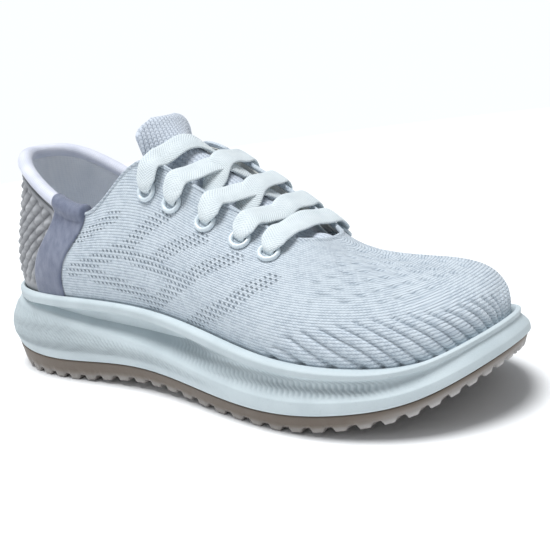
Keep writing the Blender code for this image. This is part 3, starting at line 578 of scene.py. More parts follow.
class Look:
    """A material with a Principled shader, and the sources that its formulas use."""

    def __init__(self, name, roughness, sheen=0.0, coat=0.0, specular=0.5):
        self.material = bpy.data.materials.new(name)
        self.material.use_nodes = True
        self.tree = self.material.node_tree
        self.shader = self.tree.nodes["Principled BSDF"]
        self.shader.inputs["Roughness"].default_value = roughness
        self.shader.inputs["Sheen Weight"].default_value = sheen
        self.shader.inputs["Sheen Roughness"].default_value = 0.4
        self.shader.inputs["Coat Weight"].default_value = coat
        self.shader.inputs["Coat Roughness"].default_value = 0.15
        self.shader.inputs["Specular IOR Level"].default_value = specular

    def place(self):
        """Object coordinates in millimetres, as a vector socket."""
        source = self.tree.nodes.new("ShaderNodeTexCoord").outputs["Object"]
        return self.scaled(source, 1 / MM)

    def scaled(self, vector, scale):
        node = self.tree.nodes.new("ShaderNodeVectorMath")
        node.operation = "MULTIPLY"
        self.tree.links.new(vector, node.inputs[0])
        node.inputs[1].default_value = (scale,) * 3 if isinstance(scale, (int, float)) else scale
        return node.outputs[0]

    def split(self, vector):
        node = self.tree.nodes.new("ShaderNodeSeparateXYZ")
        self.tree.links.new(vector, node.inputs[0])
        return [Field(self.tree, output) for output in node.outputs]

    def join(self, *values):
        node = self.tree.nodes.new("ShaderNodeCombineXYZ")
        for slot, value in zip(node.inputs, values):
            plug(self.tree, value, slot)
        return node.outputs[0]

    def chart(self):
        """The mesh's own chart of millimetres along and across the cloth, with a mask, which on the
        foam and the heel cap is the amount of painted light and shade.
        """
        node = self.tree.nodes.new("ShaderNodeAttribute")
        node.attribute_name = "chart"
        return self.split(node.outputs["Vector"])

    def noise(self, per_mm, detail=2.0, stretch=None):
        """Noise from 0 to 1 with that many features per millimetre."""
        node = self.tree.nodes.new("ShaderNodeTexNoise")
        vector = self.place()
        if stretch:
            vector = self.scaled(vector, stretch)
        self.tree.links.new(vector, node.inputs["Vector"])
        node.inputs["Scale"].default_value = per_mm
        node.inputs["Detail"].default_value = detail
        return Field(self.tree, node.outputs[0])

    def speckle(self, *values):
        """A different number for every whole value, from 0 to 1."""
        node = self.tree.nodes.new("ShaderNodeTexWhiteNoise")
        self.tree.links.new(self.join(*[v.math("FLOOR") for v in values]), node.inputs["Vector"])
        return Field(self.tree, node.outputs["Value"])

    def tint(self, low, high, amount):
        """Base colour from low to high by an amount from 0 to 1."""
        node = self.tree.nodes.new("ShaderNodeMix")
        node.data_type = "RGBA"
        plug(self.tree, amount, node.inputs["Factor"])
        for slot, colour in ((node.inputs["A"], low), (node.inputs["B"], high)):
            if isinstance(colour, tuple):
                slot.default_value = (*colour, 1)
            else:
                self.tree.links.new(colour, slot)
        self.tree.links.new(node.outputs["Result"], self.shader.inputs["Base Color"])
        return node.outputs["Result"]

    def rough(self, value):
        plug(self.tree, value, self.shader.inputs["Roughness"])

    def relief(self, height, depth):
        """Bump from a height of 0 to 1 that stands for a depth in millimetres."""
        node = self.tree.nodes.new("ShaderNodeBump")
        node.inputs["Strength"].default_value = 1.0
        node.inputs["Distance"].default_value = depth * MM
        plug(self.tree, height, node.inputs["Height"])
        self.tree.links.new(node.outputs[0], self.shader.inputs["Normal"])
        return self.material


def stitches(look, along, across, length, pitch):
    """Plain knit: wales a pitch apart, each a chain of V stitches of a length. Height and tone."""
    row = across * (1 / pitch)
    middle = (row.math("FRACT") - 0.5).math("ABSOLUTE") * 2.0
    step = along * (1 / length) + middle * 0.55 + row.math("FLOOR") * 0.5
    wale = 1.0 - middle.math("POWER", 2.4)
    loop = (step.math("FRACT") - 0.5).math("ABSOLUTE") * 2.0
    height = wale * 0.65 + (1.0 - loop.math("POWER", 2.0)) * 0.35
    return height, look.speckle(row, step)


def knit_look():
    """White knit with painted blue-grey shade in the gaps between its stitches, and a mask of
    open-mesh bands, less the slots of the vamp, where it paints dark shade into the holes and the
    slots.
    """
    look = Look("knit cloth", 0.85, sheen=0.25, specular=0.3)
    along, across, mesh = look.chart()
    height, tone = stitches(look, along, across, KNIT_STITCH, KNIT_WALE)
    lattice_u, lattice_v = along * (1 / HOLE_PITCH), across * (1 / HOLE_PITCH)
    lattice_u = lattice_u + lattice_v * 0.5
    near_u = (lattice_u.math("FRACT") - 0.5) * HOLE_PITCH
    near_v = (lattice_v.math("FRACT") - 0.5) * HOLE_PITCH
    distance = (near_u * near_u + near_v * near_v).math("SQRT")
    hole = 1.0 - distance.smooth(HOLE_RADIUS * 0.6, HOLE_RADIUS * 1.35)
    hole = hole * mesh.math("MAXIMUM", 0.0)
    cloud = look.noise(0.12, 3.0)
    # Painted shade: the stitches lighter where they stand up and darker in the gaps, with random
    # tone and cloud.
    bright = height * 0.55 + tone * 0.25 + cloud * 0.3
    shade = look.tint((0.267, 0.335, 0.413), (0.645, 0.714, 0.774), bright.smooth(0.1, 0.85))
    # Painted shade: the holes of the open-mesh bands and the slots of the vamp are painted dark.
    look.tint(shade, (0.172, 0.224, 0.275), hole * 0.85 + (-mesh).math("MAXIMUM", 0.0) * 0.35)
    look.rough(0.9 - height * 0.1)
    fibre = look.noise(3.0, 2.0)
    return look.relief(height * 0.75 + fibre * 0.2 - hole * 1.6, 0.42)


def lace_look():
    """Flat white braid: two sets of fine slanted ribs that meet in the middle, with painted shade
    in the grooves between them.
    """
    look = Look("lace braid", 0.8, sheen=0.35, specular=0.3)
    along, across, _ = look.chart()
    slant = across.math("ABSOLUTE") * 0.7
    rib = (along * 0.85 + slant).wave()
    strand = (across * 0.95).wave()
    cross = (along * 0.85 - slant * 0.6 + strand * 0.35).wave()
    weave = rib * 0.6 + cross * 0.4
    cloud = look.noise(0.15, 2.0)
    # Painted shade: lighter on the ribs and darker in the grooves between them, with random cloud.
    bright = weave * 0.6 + cloud * 0.5
    look.tint((0.583, 0.667, 0.714), (0.827, 0.893, 0.912), bright.smooth(0.0, 0.85))
    return look.relief(weave + look.noise(2.5) * 0.3, 0.2)


def tongue_look():
    """Fine ribbed knit of the tongue, lavender-white, with painted shade in the gaps between its
    stitches.
    """
    look = Look("tongue knit", 0.85, sheen=0.3, specular=0.3)
    along, across, _ = look.chart()
    height, tone = stitches(look, along, across, 1.5, 1.9)
    # Painted shade: the stitches lighter where they stand up and darker in the gaps, with random
    # tone and cloud.
    bright = height * 0.6 + tone * 0.15 + look.noise(0.1, 2.0) * 0.35
    look.tint((0.414, 0.477, 0.576), (0.702, 0.765, 0.846), bright.smooth(0.1, 0.9))
    return look.relief(height + look.noise(2.5) * 0.25, 0.42)


def satin_look(name, low, high, pitch, depth):
    """Smooth close-woven lining cloth with a barely visible thread, faintly painted darker in the
    gaps between threads.
    """
    look = Look(name, 0.6, sheen=0.3, specular=0.4)
    along, across, _ = look.chart()
    thread = (along * (1 / pitch)).wave() * 0.5 + (across * (1 / pitch)).wave() * 0.5
    cloud = look.noise(0.08, 3.0)
    # Painted shade, faint: the thread lighter on top and darker in the gaps, with random cloud.
    look.tint(low, high, (thread * 0.25 + cloud * 0.9).smooth(0.1, 1.0))
    look.rough(0.72 - cloud * 0.2)
    return look.relief(thread * 0.6 + look.noise(1.5) * 0.5, depth)


def strap_look():
    """Brushed lavender-grey microfibre: soft mottled nap."""
    look = Look("strap microfibre", 0.75, sheen=0.6, specular=0.3)
    nap = look.noise(0.35, 4.0, stretch=(1.0, 1.0, 0.45))
    fine = look.noise(4.0, 2.0)
    cloud = look.noise(0.07, 2.0)
    bright = nap * 0.7 + fine * 0.25 + cloud * 0.4
    look.tint((0.112, 0.132, 0.205), (0.244, 0.271, 0.356), bright.smooth(0.35, 1.0))
    look.rough(0.65 + nap * 0.25)
    return look.relief(nap * 0.5 + fine * 0.6, 0.2)


def moulded_look():
    """Warm grey moulded heel cap with a fine leather-like grain, and painted light and shade from
    the chart: lighter on the middles of its lozenges, darker at their edges and in the grooves
    under the collar.
    """
    look = Look("moulded heel", 0.45, specular=0.45)
    grain = look.noise(1.6, 4.0)
    cloud = look.noise(0.1, 3.0)
    _, _, painted_shading = look.chart()
    # Painted light and shade from the chart, with random cloud and grain.
    tone = painted_shading * 0.45 + cloud * 0.5 + grain * 0.15
    look.tint((0.134, 0.139, 0.151), (0.504, 0.512, 0.529), tone.smooth(0.2, 1.0))
    look.rough(0.42 + grain * 0.2)
    return look.relief(grain, 0.12)


def foam_look():
    """Matt foam: a fine cellular skin with faint mould speckle, and painted light and shade from
    the chart: lighter on the crests of its ripples, darker in their troughs and in the hollow under
    the rim.
    """
    look = Look("foam skin", 0.55, specular=0.35)
    _, _, painted_shading = look.chart()
    cells = look.noise(2.2, 3.0)
    cloud = look.noise(0.05, 3.0)
    speck = look.noise(0.9, 1.0).smooth(0.62, 0.8)
    # Painted light and shade from the chart, with random cloud, cells and mould speckle.
    tone = painted_shading * 0.5 + cloud * 0.4 + cells * 0.12 - speck * 0.08
    look.tint((0.361, 0.43, 0.464), (0.654, 0.731, 0.757), tone.smooth(0.05, 0.95))
    look.rough(0.5 + cells * 0.15)
    return look.relief(cells, 0.1)


def rubber_look():
    """Taupe rubber that turns pale and glassy at the tips of its lugs and at the toe."""
    look = Look("outsole rubber", 0.5, specular=0.45)
    _, _, tip = look.chart()
    grain = look.noise(1.2, 3.0)
    cloud = look.noise(0.12, 2.0)
    pale = (tip + cloud * 0.15 - 0.07).math("ADD", 0.0, clamp=True)
    look.tint((0.144, 0.112, 0.086), (0.446, 0.432, 0.421), pale)
    look.rough(0.42 + grain * 0.2)
    return look.relief(grain, 0.1)


def eyelet_look():
    """Glossy white lacquered ring."""
    look = Look("eyelet lacquer", 0.28, coat=0.5)
    cloud = look.noise(0.8, 2.0)
    look.tint((0.62, 0.71, 0.77), (0.80, 0.88, 0.92), cloud)
    look.rough(0.22 + cloud * 0.12)
    return look.relief(look.noise(2.5), 0.02)


def board_look():
    """Stitched textile board, never seen unless the shoe is taken apart, with painted shade in the
    gaps between its threads.
    """
    look = Look("textile board", 0.9, specular=0.2)
    x, y, _ = look.split(look.place())
    thread = (x * 0.8).wave() * 0.5 + (y * 0.8).wave() * 0.5
    # Painted shade: the threads lighter on top and darker in the gaps, with random noise.
    look.tint((0.60, 0.60, 0.56), (0.83, 0.83, 0.80), thread * 0.6 + look.noise(0.3) * 0.4)
    return look.relief(thread, 0.2)


def floor_look():
    look = Look("pale floor", 0.9, specular=0.1)
    look.tint((0.93, 0.935, 0.94), (0.95, 0.955, 0.96), look.noise(0.01))
    return look.material


# ---------------------------------------------------------------- sole

# Loops of a piece made of a ring round the shoe and the two surfaces that close it.
RING_AND_TWO_ENDS = ((True, False), (False, False), (False, False))


def wavy(along, up, pitch, row, slant):
    """Rippled foam texture: slanted crests that waver from row to row, from -1 to 1."""
    phase = (along + up * slant) / pitch + 0.22 * np.sin(2 * math.pi * up / row)
    return np.sin(2 * math.pi * phase)


def soft(value, low, high):
    """0 below low, 1 above high and smooth between."""
    share = np.clip((value - low) / (high - low), 0, 1)
    return share * share * (3 - 2 * share)


def sole_side(t, share):
    """Points of the foam's side at turns and shares of its height, with its moulded ripples,
    and the amount of painted light and shade: lighter on the ripples' crests, darker in their
    troughs and in the hollow under the rim.
    """
    t, share = np.broadcast_arrays(t, share)
    shape = t.shape
    t, share = t.ravel(), share.ravel()
    flat = outline(t)
    x = flat[:, 0]
    low = height(OUTSOLE_LINE, x) + GAP
    high = height(RIM_LINE, x)
    z = low + (high - low) * share
    ridge = height(RIDGE_LINE, x)
    along = SIDE_LENGTH(t)
    over = soft(share, ridge + 0.03, ridge + 0.12)
    over *= 1 - soft(share, RIM_SHARE - 0.12, RIM_SHARE - 0.03)
    over *= soft(x, -12, 8) * (1 - soft(x, 100, 118))
    front = wavy(along, z, 2.7, 3.8, 0.9)
    under = soft(share, 0.1, 0.2) * (1 - soft(share, ridge - 0.14, ridge - 0.03))
    under *= 1 - soft(x, 10, 45)
    heel = wavy(along, z, 2.5, 9.0, 1.5)
    ripple = 0.42 * over * front + 0.55 * under * heel
    above = np.clip((share - ridge) / np.maximum(RIM_SHARE - ridge, 0.02), 0, 1)
    sweep = soft(x, -125, -95) * (1 - soft(x, -20, 50) * 0.8)
    inset = side_inset(x, share) - ripple + UNDERCUT * sweep * np.sin(math.pi * above**2.2)
    place = outline(t) - outward(t) * inset[:, None]
    # Painted light and shade: the hollow under the rim is painted darker, and the ripples lighter
    # on their crests and darker in their troughs.
    hollow = soft(share, ridge + 0.02, ridge + 0.2)
    hollow *= 1 - soft(share, RIM_SHARE - 0.1, RIM_SHARE - 0.01)
    painted_shading = 0.72 + 0.3 * (over * front + under * heel) - 0.75 * hollow * sweep
    return np.column_stack([place, z]).reshape(*shape, 3), painted_shading.reshape(shape)


def length_table():
    """Arc length of the outline from the heel, as a function of turns."""
    t = np.linspace(0, TURNS, 4001)
    reach = distances(outline(t))
    return lambda at: np.interp(at % TURNS, t, reach)


def midsole_piece(look):
    t = np.arange(1000) * TURNS / 1000
    rounding = 0.9 + 0.1 * np.sin(np.linspace(0.1, 1, 9) * math.pi / 2)
    share = np.concatenate([np.linspace(0, 0.9, 58), rounding])
    side, painted_shading = sole_side(t[:, None], share[None, :])
    inner = []
    for inset, lift in INNER_WALL:
        inner.append(ring(t, bite_inset(t) - WALL_GAP - inset, RIM_LINE, lift))
    inner.append(ring(t, bite_inset(t) + FEATHER_EXTRA - 2 * WALL_GAP, FOOTBED_LINE))
    grid = np.concatenate([side, np.stack(inner, 1)], 1)
    painted_shading = np.concatenate([painted_shading, np.full((len(t), len(inner)), 0.7)], 1)
    along = np.broadcast_to(SIDE_LENGTH(t)[:, None], painted_shading.shape)
    chart = np.stack([along, grid[..., 2], painted_shading], -1)
    floor_grid = bridge(grid[:, -1], 12)
    base_grid = bridge(grid[:, 0], 12, flip=True)
    return piece(
        "midsole_foam",
        [(grid, chart), (floor_grid, (0, 0, 0.5)), (base_grid, (0, 0, 0.5))],
        look,
        replaces=["midsole"],
        loops=RING_AND_TWO_ENDS,
    )


def bridge(loop, rungs, flip=False):
    """A strip across a closed loop that runs down one side of the shoe and back up the other."""
    half = len(loop) // 2
    near = loop[: half + 1]
    far = np.concatenate([loop[:1], loop[:half - 1:-1]])
    return ladder(far, near, rungs) if flip else ladder(near, far, rungs)


def outsole_piece(look):
    """Rubber with rounded bars across it, whose ends show as teeth along the lower edge."""
    steps = 14
    side = np.arange(LUGS * steps + 1) / (LUGS * steps) * TOE
    t = np.concatenate([side, TURNS - side[-2:0:-1]])
    turn = np.minimum(t, TURNS - t) / TOE * LUGS
    bar = 0.5 + 0.5 * np.cos(2 * math.pi * (turn - 0.21))
    groove = 1 - soft(bar, 0.18, 0.62)
    flat = outline(t)
    top_z = height(OUTSOLE_LINE, flat[:, 0])
    ground = np.maximum(height(GROUND_LINE, flat[:, 0]), 0)
    rows, tips = [], []
    for share, inset, cut in TREAD_ROWS:
        z = ground + (top_z - ground) * share
        z = np.minimum(np.maximum(z, ground + groove * cut * GROOVE_DEPTH), top_z)
        deeper = groove * cut * 0.9
        place = flat - outward(t) * (inset + deeper)[:, None]
        rows.append(np.column_stack([place, z]))
        pale = (1 - soft(share, 0.15, 0.5)) * 0.55
        pale = pale + 0.5 * soft(flat[:, 0], 85, 125) * (1 - soft(share, 0.5, 0.9))
        tips.append(np.clip(pale, 0, 1) * np.ones(len(t)))
    rows.append(rows[-1] + np.column_stack([-outward(t) * 6, np.zeros(len(t))]))
    tips.append(np.zeros(len(t)))
    grid = np.stack(rows, 1)
    along = np.broadcast_to(SIDE_LENGTH(t)[:, None], grid.shape[:2])
    chart = np.stack([along, grid[..., 2], np.stack(tips, 1)], -1)
    ground_grid, top_grid = bridge(grid[:, 0], 14, flip=True), bridge(grid[:, -1], 6)
    return piece(
        "outsole_tread",
        [(grid, chart), (ground_grid, (0, 0, 0.5)), (top_grid, (0, 0, 0))],
        look,
        replaces=["outsole"],
        loops=RING_AND_TWO_ENDS,
    )


def insole_piece(look):
    """Fabric-topped footbed, dished by its raised edge."""
    t = np.arange(480) * TURNS / 480
    base = 2 * GAP + STROBEL_THICK
    inset = bite_inset(t) + BOARD_EXTRA
    rows = [ring(t, inset + 0.6, FOOTBED_LINE, base)]
    for extra, lift in INSOLE_ROWS:
        rows.append(ring(t, inset + extra, FOOTBED_LINE, base + lift))
    grid = np.stack(rows, 1)
    top = bridge(grid[:, -1], 60)
    chart = np.concatenate([top[..., :2], np.zeros((*top.shape[:2], 1))], -1)
    side_chart = np.concatenate([grid[..., :2], np.zeros((*grid.shape[:2], 1))], -1)
    return piece(
        "insole_cushion",
        [(grid, side_chart), (top, chart), (bridge(grid[:, 0], 6, flip=True), (0, 0, 0))],
        look,
        replaces=["insole"],
        loops=RING_AND_TWO_ENDS,
    )


# ---------------------------------------------------------------- upper


def rise(t, v):
    """Distance up the upper from the rim, for a grid of turns and shares."""
    points = rib_points(t, v)
    steps = np.linalg.norm(np.diff(points, axis=1), axis=-1)
    reach = np.concatenate([np.zeros((len(points), 1)), np.cumsum(steps, 1)], 1)
    zero = np.argmin(np.abs(v[0]))
    return reach - reach[:, zero : zero + 1]


def near_line(x, y, line):
    """Distance from points to a line of places."""
    best = np.full(np.shape(x), 1e9)
    for (ax, ay), (bx, by) in zip(line, line[1:]):
        run = np.hypot(bx - ax, by - ay)
        ux, uy = (bx - ax) / run, (by - ay) / run
        share = np.clip((x - ax) * ux + (y - ay) * uy, 0, run)
        best = np.minimum(best, np.hypot(x - ax - ux * share, y - ay - uy * share))
    return best


def flutes(t, h):
    """Depth of the slanted grooves round the toe, at turns and distances up from the rim."""
    side = np.minimum(t % TURNS, TURNS - t % TURNS)
    top = height(FLUTE_TOP, side)
    share = np.clip(h / top, 0, 1.1)
    heads, feet = np.array(FLUTE_HEADS).T, np.array(FLUTE_FEET).T
    phase = share * np.interp(side, *heads) + (1 - share) * np.interp(side, *feet)
    across = np.abs(phase - np.round(phase)) * 2
    cut = (1 - soft(across, 0.0, 0.5)) * (1 - soft(h, top - 1.2, top + 0.6))
    rib = np.sqrt(np.clip(1 - (1 - across) ** 2, 0, 1)) * (1 - soft(h, top - 6.0, top + 1.0))
    return soft(side, FLUTE_START, FLUTE_START + 0.3) * (cut * FLUTE_DEPTH - rib * 0.3)


def dimples(x, y):
    """Depth of the staggered slots in the top of the vamp, at places in plan view."""
    (ux, uy), (wx, wy) = DIMPLE_STEP, DIMPLE_ROW
    ox, oy = DIMPLE_ORIGIN
    scale = ux * wy - uy * wx
    a = ((x - ox) * wy - (y - oy) * wx) / scale
    b = ((y - oy) * ux - (x - ox) * uy) / scale
    da, db = a - np.round(a), b - np.round(b)
    px, py = da * ux + db * wx, da * uy + db * wy
    (vx, vy), (long, wide) = DIMPLE_AXIS, DIMPLE_SIZE
    along, across = (px * vx + py * vy) / long, (py * vx - px * vy) / wide
    return np.exp(-((along**2 + across**2) ** 1.5))


def knit_surface(t, v):
    """Points, chart and mask of the knit's outer face, with its flutes and slots."""
    points, normals = rib_points(t, v), rib_normals(t, v)
    h = rise(*np.broadcast_arrays(t, v))
    side = np.minimum(t, TURNS - t)
    turn = np.broadcast_to(side, h.shape)
    zone = soft(turn, 6.95, 7.25) * soft(h, 25.0, 28.0)
    dip = dimples(points[..., 0], np.abs(points[..., 1] - DIMPLE_MIDDLE)) * zone
    dip *= 1 - soft(points[..., 0], 116, 121)
    dip *= soft(points[..., 0], 70, 74)
    depth = flutes(t, h) + DIMPLE_DEPTH * dip
    bands = np.zeros(h.shape)
    for line in MESH_BANDS:
        far = near_line(points[..., 0], h, line)
        bands = np.maximum(bands, 1 - soft(far, 2.6, 4.2))
    bands *= 1 - soft(turn, 6.9, 7.1)
    along = points[..., 0] + 1.2 * np.where(t > TOE, -1, 1) * soft(turn, 8.3, 10) * points[..., 1]
    # The mask is the open-mesh bands less the slots; the knit's material paints shade into both.
    return points - normals * depth[..., None], np.stack([along, h, bands - dip], -1)


def rolled_edge(t, profile):
    """Rows over the top edge: distances past the opening along the rib, and depths under it."""
    top, normal = rib_points(t, 1.0), rib_normals(t, 0.97)
    rib = unit(top - rib_points(t, 0.97))
    return np.stack([top + rib * past - normal * depth for past, depth in profile], -2)


def knit_piece(look):
    """The knit with a piped top edge that turns in over the lining."""
    t = np.linspace(KNIT_START, TURNS - KNIT_START, 1240)[:, None]
    v = np.concatenate([[-0.25, -0.12], np.linspace(0, 0.965, 64)])[None, :]
    grid, chart = knit_surface(t, v)
    edge = rolled_edge(t[:, 0], KNIT_EDGE)
    past = np.array([past for past, _ in KNIT_EDGE])
    h = chart[:, -1, 1][:, None] + 3.0 + past[None, :]
    edge_chart = np.stack([np.broadcast_to(edge[..., 0], h.shape), h, np.zeros(h.shape)], -1)
    grid = np.concatenate([grid, edge], 1)
    chart = np.concatenate([chart, edge_chart], 1)
    return piece("knit_shell", [(grid, chart)], look, replaces=["knit_upper"])


def lozenges(a, b):
    """Diamond cushions one unit wide and tall, edge to edge: 0 at their edges, 1 in the middle."""
    one, two = a + b, a - b
    return (np.abs(np.sin(math.pi * one)) * np.abs(np.sin(math.pi * two))) ** 0.8


def heel_cap_piece(look):
    """Moulded shell of the heel, covered in lozenges like overlapping scales."""
    t = np.linspace(-CAP_END - 0.12, CAP_END + 0.12, 420)[:, None]
    v = np.concatenate([[-0.2, -0.1], np.linspace(0, 0.97, 190)])[None, :]
    points, normals = rib_points(t, v), rib_normals(t, v)
    h = rise(*np.broadcast_arrays(t, v))
    middle = rib_points(t, 0.5)[:, 0]
    along = distances(middle)
    along = (along - along.mean())[:, None]
    top = h[:, -1:]
    field = (1 - soft(h, top - 7.0, top - 4.8)) * soft(h, 3.0, 5.5)
    pillow = lozenges(along / SCALE_WIDE, h / SCALE_TALL)
    pillow = lozenges(along / SCALE_WIDE, h / SCALE_TALL + 0.16 * pillow)
    groove = 0.9 * np.exp(-(((h - (top - 3.2)) / 0.6) ** 2))
    groove += 0.5 * np.exp(-(((h - (top - 1.2)) / 0.5) ** 2))
    lift = field * (pillow - 0.75) * SCALE_DEPTH - groove
    # Painted light and shade: lighter on the middles of the lozenges, darker at their edges and in
    # the two grooves under the collar.
    painted_shading = np.clip(0.25 + 0.7 * field * pillow + 0.3 * (1 - field) - 0.5 * groove, 0, 1)
    grid = points + normals * lift[..., None]
    chart = np.stack([np.broadcast_to(along, h.shape), h, painted_shading], -1)
    return piece("heel_cap_relief", [(grid, chart)], look, replaces=["heel_cap"])


def roll_rows(t, radius, start, end, count):
    """Rows round the padded collar, by angle: 0 points out, 90 degrees points up."""
    centre = upper(t, np.full(len(t), 1.0), np.full(len(t), 1.5))
    normal = rib_normals(t, 0.97)
    rib = unit(rib_points(t, 1.0) - rib_points(t, 0.97))
    up = unit(rib - normal * (rib * normal).sum(-1, keepdims=True))
    angle = np.radians(np.linspace(start, end, count))[None, :, None]
    spoke = normal[:, None] * np.cos(angle) + up[:, None] * np.sin(angle)
    return centre[:, None] + spoke * radius


def collar_piece(look):
    """Padded roll along the top line."""
    t = np.linspace(-STRAP_END + 0.06, STRAP_END - 0.06, 360)
    grid = roll_rows(t, TOP_LINE_TUBE, 0, 360, 37)[:, :-1]
    along = np.linspace(0, 180, len(t))[:, None]
    around = np.linspace(0, 23, 36)[None, :]
    chart = np.stack(np.broadcast_arrays(along, around, 0.0), -1)
    made = piece(
        "collar_padding", [(grid, chart)], look,
        replaces=["collar_roll"], loops=(False, True),
    )
    return made


def strap_piece(side, look):
    """Band of microfibre from the sole up the side and over the padded collar."""
    spread = np.linspace(0, 1, 61)
    t = CAP_END - STRAP_SPARE + (STRAP_END - CAP_END + 2 * STRAP_SPARE) * spread
    if side == MEDIAL:
        t = (TURNS - t)[::-1]
    v = np.concatenate([[-0.2, -0.1], np.linspace(0, 0.9, 80)])
    edge = np.minimum(spread, spread[::-1]) * 16
    proud = 0.3 + 0.85 * np.sqrt(np.clip(1 - (1 - np.clip(edge / 1.1, 0, 1)) ** 2, 0, 1))
    face = upper(t[:, None], v[None, :], -np.broadcast_to(proud[:, None], (len(t), len(v))))
    front = np.clip((spread if side == LATERAL else spread[::-1]) - 0.88, 0, 1) / 0.12
    tube = TOP_LINE_TUBE * (0.3 + 0.7 * np.sqrt(np.clip(1 - front**2, 0, 1)))
    wrap = roll_rows(t, (tube + proud)[:, None, None], -18, 205, 40)
    grid = np.concatenate([face, wrap], 1)
    up = np.linspace(0, 70, grid.shape[1])[None]
    chart = np.stack(np.broadcast_arrays(spread[:, None] * 15, up, 0.0), -1)
    name = "lateral" if side == LATERAL else "medial"
    return piece(f"strap_{name}_band", [(grid, chart)], look, replaces=[f"strap_{name}"])


def lining_piece(name, start, end, top, look, node):
    """Inner face of the upper, seen through the opening."""
    t = np.linspace(start, end, 400)[:, None]
    v = np.concatenate([[-0.85, -0.4], np.linspace(0, top, 90)])[None, :]
    swell = 1.4 * soft(v, 0.55, 0.85) * (1 - soft(v, 0.93, 1.0)) if top > 0.9 else 0 * v
    shape = (len(t), v.shape[1])
    outer = upper(t, v, np.broadcast_to(LINING_DEPTH + 0.1, shape))
    inner = upper(t, v, np.broadcast_to(LINING_DEPTH + LINING_THICK + 0.3 + swell, shape))
    grid = np.concatenate([inner, outer[:, ::-1]], 1)[::-1]
    h = rise(*np.broadcast_arrays(t, v))
    chart = np.stack([np.broadcast_to(rib_points(t, 0.5)[..., 0], h.shape), h, 0 * h], -1)
    chart = np.concatenate([chart, chart[:, ::-1]], 1)[::-1]
    return piece(name, [(grid, chart)], look, replaces=[node])


# ---------------------------------------------------------------- eyelets, tongue and lace


def eyelet_frame(row, side):
    t = EYELET_TURNS[row] if side == LATERAL else TURNS - EYELET_TURNS[row]
    centre = rib_points(t, EYELET_SHARE).reshape(3)
    normal = rib_normals(t, EYELET_SHARE).reshape(3)
    turn = Vector(normal).to_track_quat("Z", "Y").to_matrix()
    return centre, np.array(turn)


def eyelet_piece(row, side, look):
    """Turned ring: a rounded flange outside, the barrel and a small flange behind."""
    back = -(EYESTAY_DEPTH + LINING_THICK + 1.5 * GAP)
    middle = (EYELET_HOLE + EYELET_FLANGE) / 2 + 0.1
    radius = (EYELET_FLANGE - EYELET_HOLE) / 2 + 0.1
    profile = []
    for degrees in np.linspace(205, -20, 16):
        angle = math.radians(degrees)
        high = GAP + 0.35 + radius * 1.1 * math.sin(angle)
        profile.append((middle + radius * math.cos(angle), high))
    profile += [(EYELET_BARREL, GAP), (EYELET_BARREL, back), (EYELET_BACK_FLANGE, back)]
    profile += [(EYELET_BACK_FLANGE - 0.1, back - 0.3), (EYELET_BACK_FLANGE - 0.4, back - 0.5)]
    profile += [(EYELET_HOLE + 0.3, back - 0.5), (EYELET_HOLE, back - 0.2)]
    profile.append((EYELET_HOLE - 0.05, -0.3))
    centre, turn = eyelet_frame(row, side)
    angle = np.linspace(0, 2 * math.pi, 64, endpoint=False)[:, None]
    r, z = np.array(profile).T
    local = np.stack(np.broadcast_arrays(r * np.cos(angle), r * np.sin(angle), z[None, :]), -1)
    grid = local @ turn.T + centre
    name = f"{'lateral' if side == LATERAL else 'medial'}_{row + 1}"
    return piece(
        f"eyelet_ring_{name}", [(grid, (0, 0, 0))], look,
        replaces=[f"eyelet_{name}"], loops=(True, True),
    )


def tongue_pieces(knit, lining):
    """Padded tongue: ribbed knit over foam, bound to its lining all round the edge."""
    s, across = np.linspace(0, 1, 260), np.linspace(-1, 1, 120)
    surface = tongue_surface(s, across)
    surface[..., 2] += THROAT_FILL * np.exp(-(((surface[..., 0] - 59) / 7) ** 2))
    normals = grid_normals(surface)
    edge = np.minimum(1 - np.abs(across)[None, :], (1 - s)[:, None] * 5)
    round_off = np.sqrt(np.clip(1 - (1 - np.clip(edge / 0.14, 0, 1)) ** 2, 0, 1))
    reach = distances(surface[:, 60])
    width = (surface[:, :, 1] - surface[:, 60:61, 1]) * 1.05
    chart = np.stack([np.broadcast_to(reach[:, None], width.shape), width, 0 * width], -1)
    middle = 2.6
    top = surface - normals * (middle * (1 - round_off))[..., None]
    under = surface - normals * (middle + (TONGUE_DEEP - middle) * round_off)[..., None]
    cover = piece(
        "tongue_cover", [(top, chart)], knit, body=None,
        replaces=["tongue_knit", "tongue_foam"],
    )
    backing = piece(
        "tongue_backing", [(under[::-1], chart[::-1])], lining, body=None,
        replaces=["tongue_lining"],
    )
    for one in (cover, backing):
        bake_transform(one)
    return cover, backing


def taut(shares, heights):
    """Heights of a strap pulled tight over these: the lowest line that never sags."""
    lifted = list(heights)
    for i, share in enumerate(shares):
        for a in range(i):
            for b in range(i + 1, len(shares)):
                part = (share - shares[a]) / (shares[b] - shares[a])
                lifted[i] = max(lifted[i], heights[a] * (1 - part) + heights[b] * part)
    return lifted


def crossing(start, finish, lifts):
    """Stations of a strap pulled tight over the tongue, from one flap's edge to the other."""
    shares = (0.0, 0.14, 0.32, 0.5, 0.68, 0.86, 1.0)
    flat = [start + (finish - start) * share for share in shares]
    tops = [tongue_top(x, y) for x, y, _ in flat]
    over = [top + lift * 1.15 for top, lift in zip(tops[1:-1], lifts)]
    heights = [start[2], *over, finish[2]]
    stations = []
    for (x, y, _), z in list(zip(flat, taut(shares, heights)))[1:-1]:
        top = tongue_top(x, y)
        normal = unit(np.array((top - tongue_top(x + 1, y), top - tongue_top(x, y + 1), 1)))
        width = np.cross(finish - start, (normal[0], 0, normal[2]))
        stations.append((np.array([x, y, z]), (LACE_WIDTH, LACE_THICK), unit(width)))
    return stations


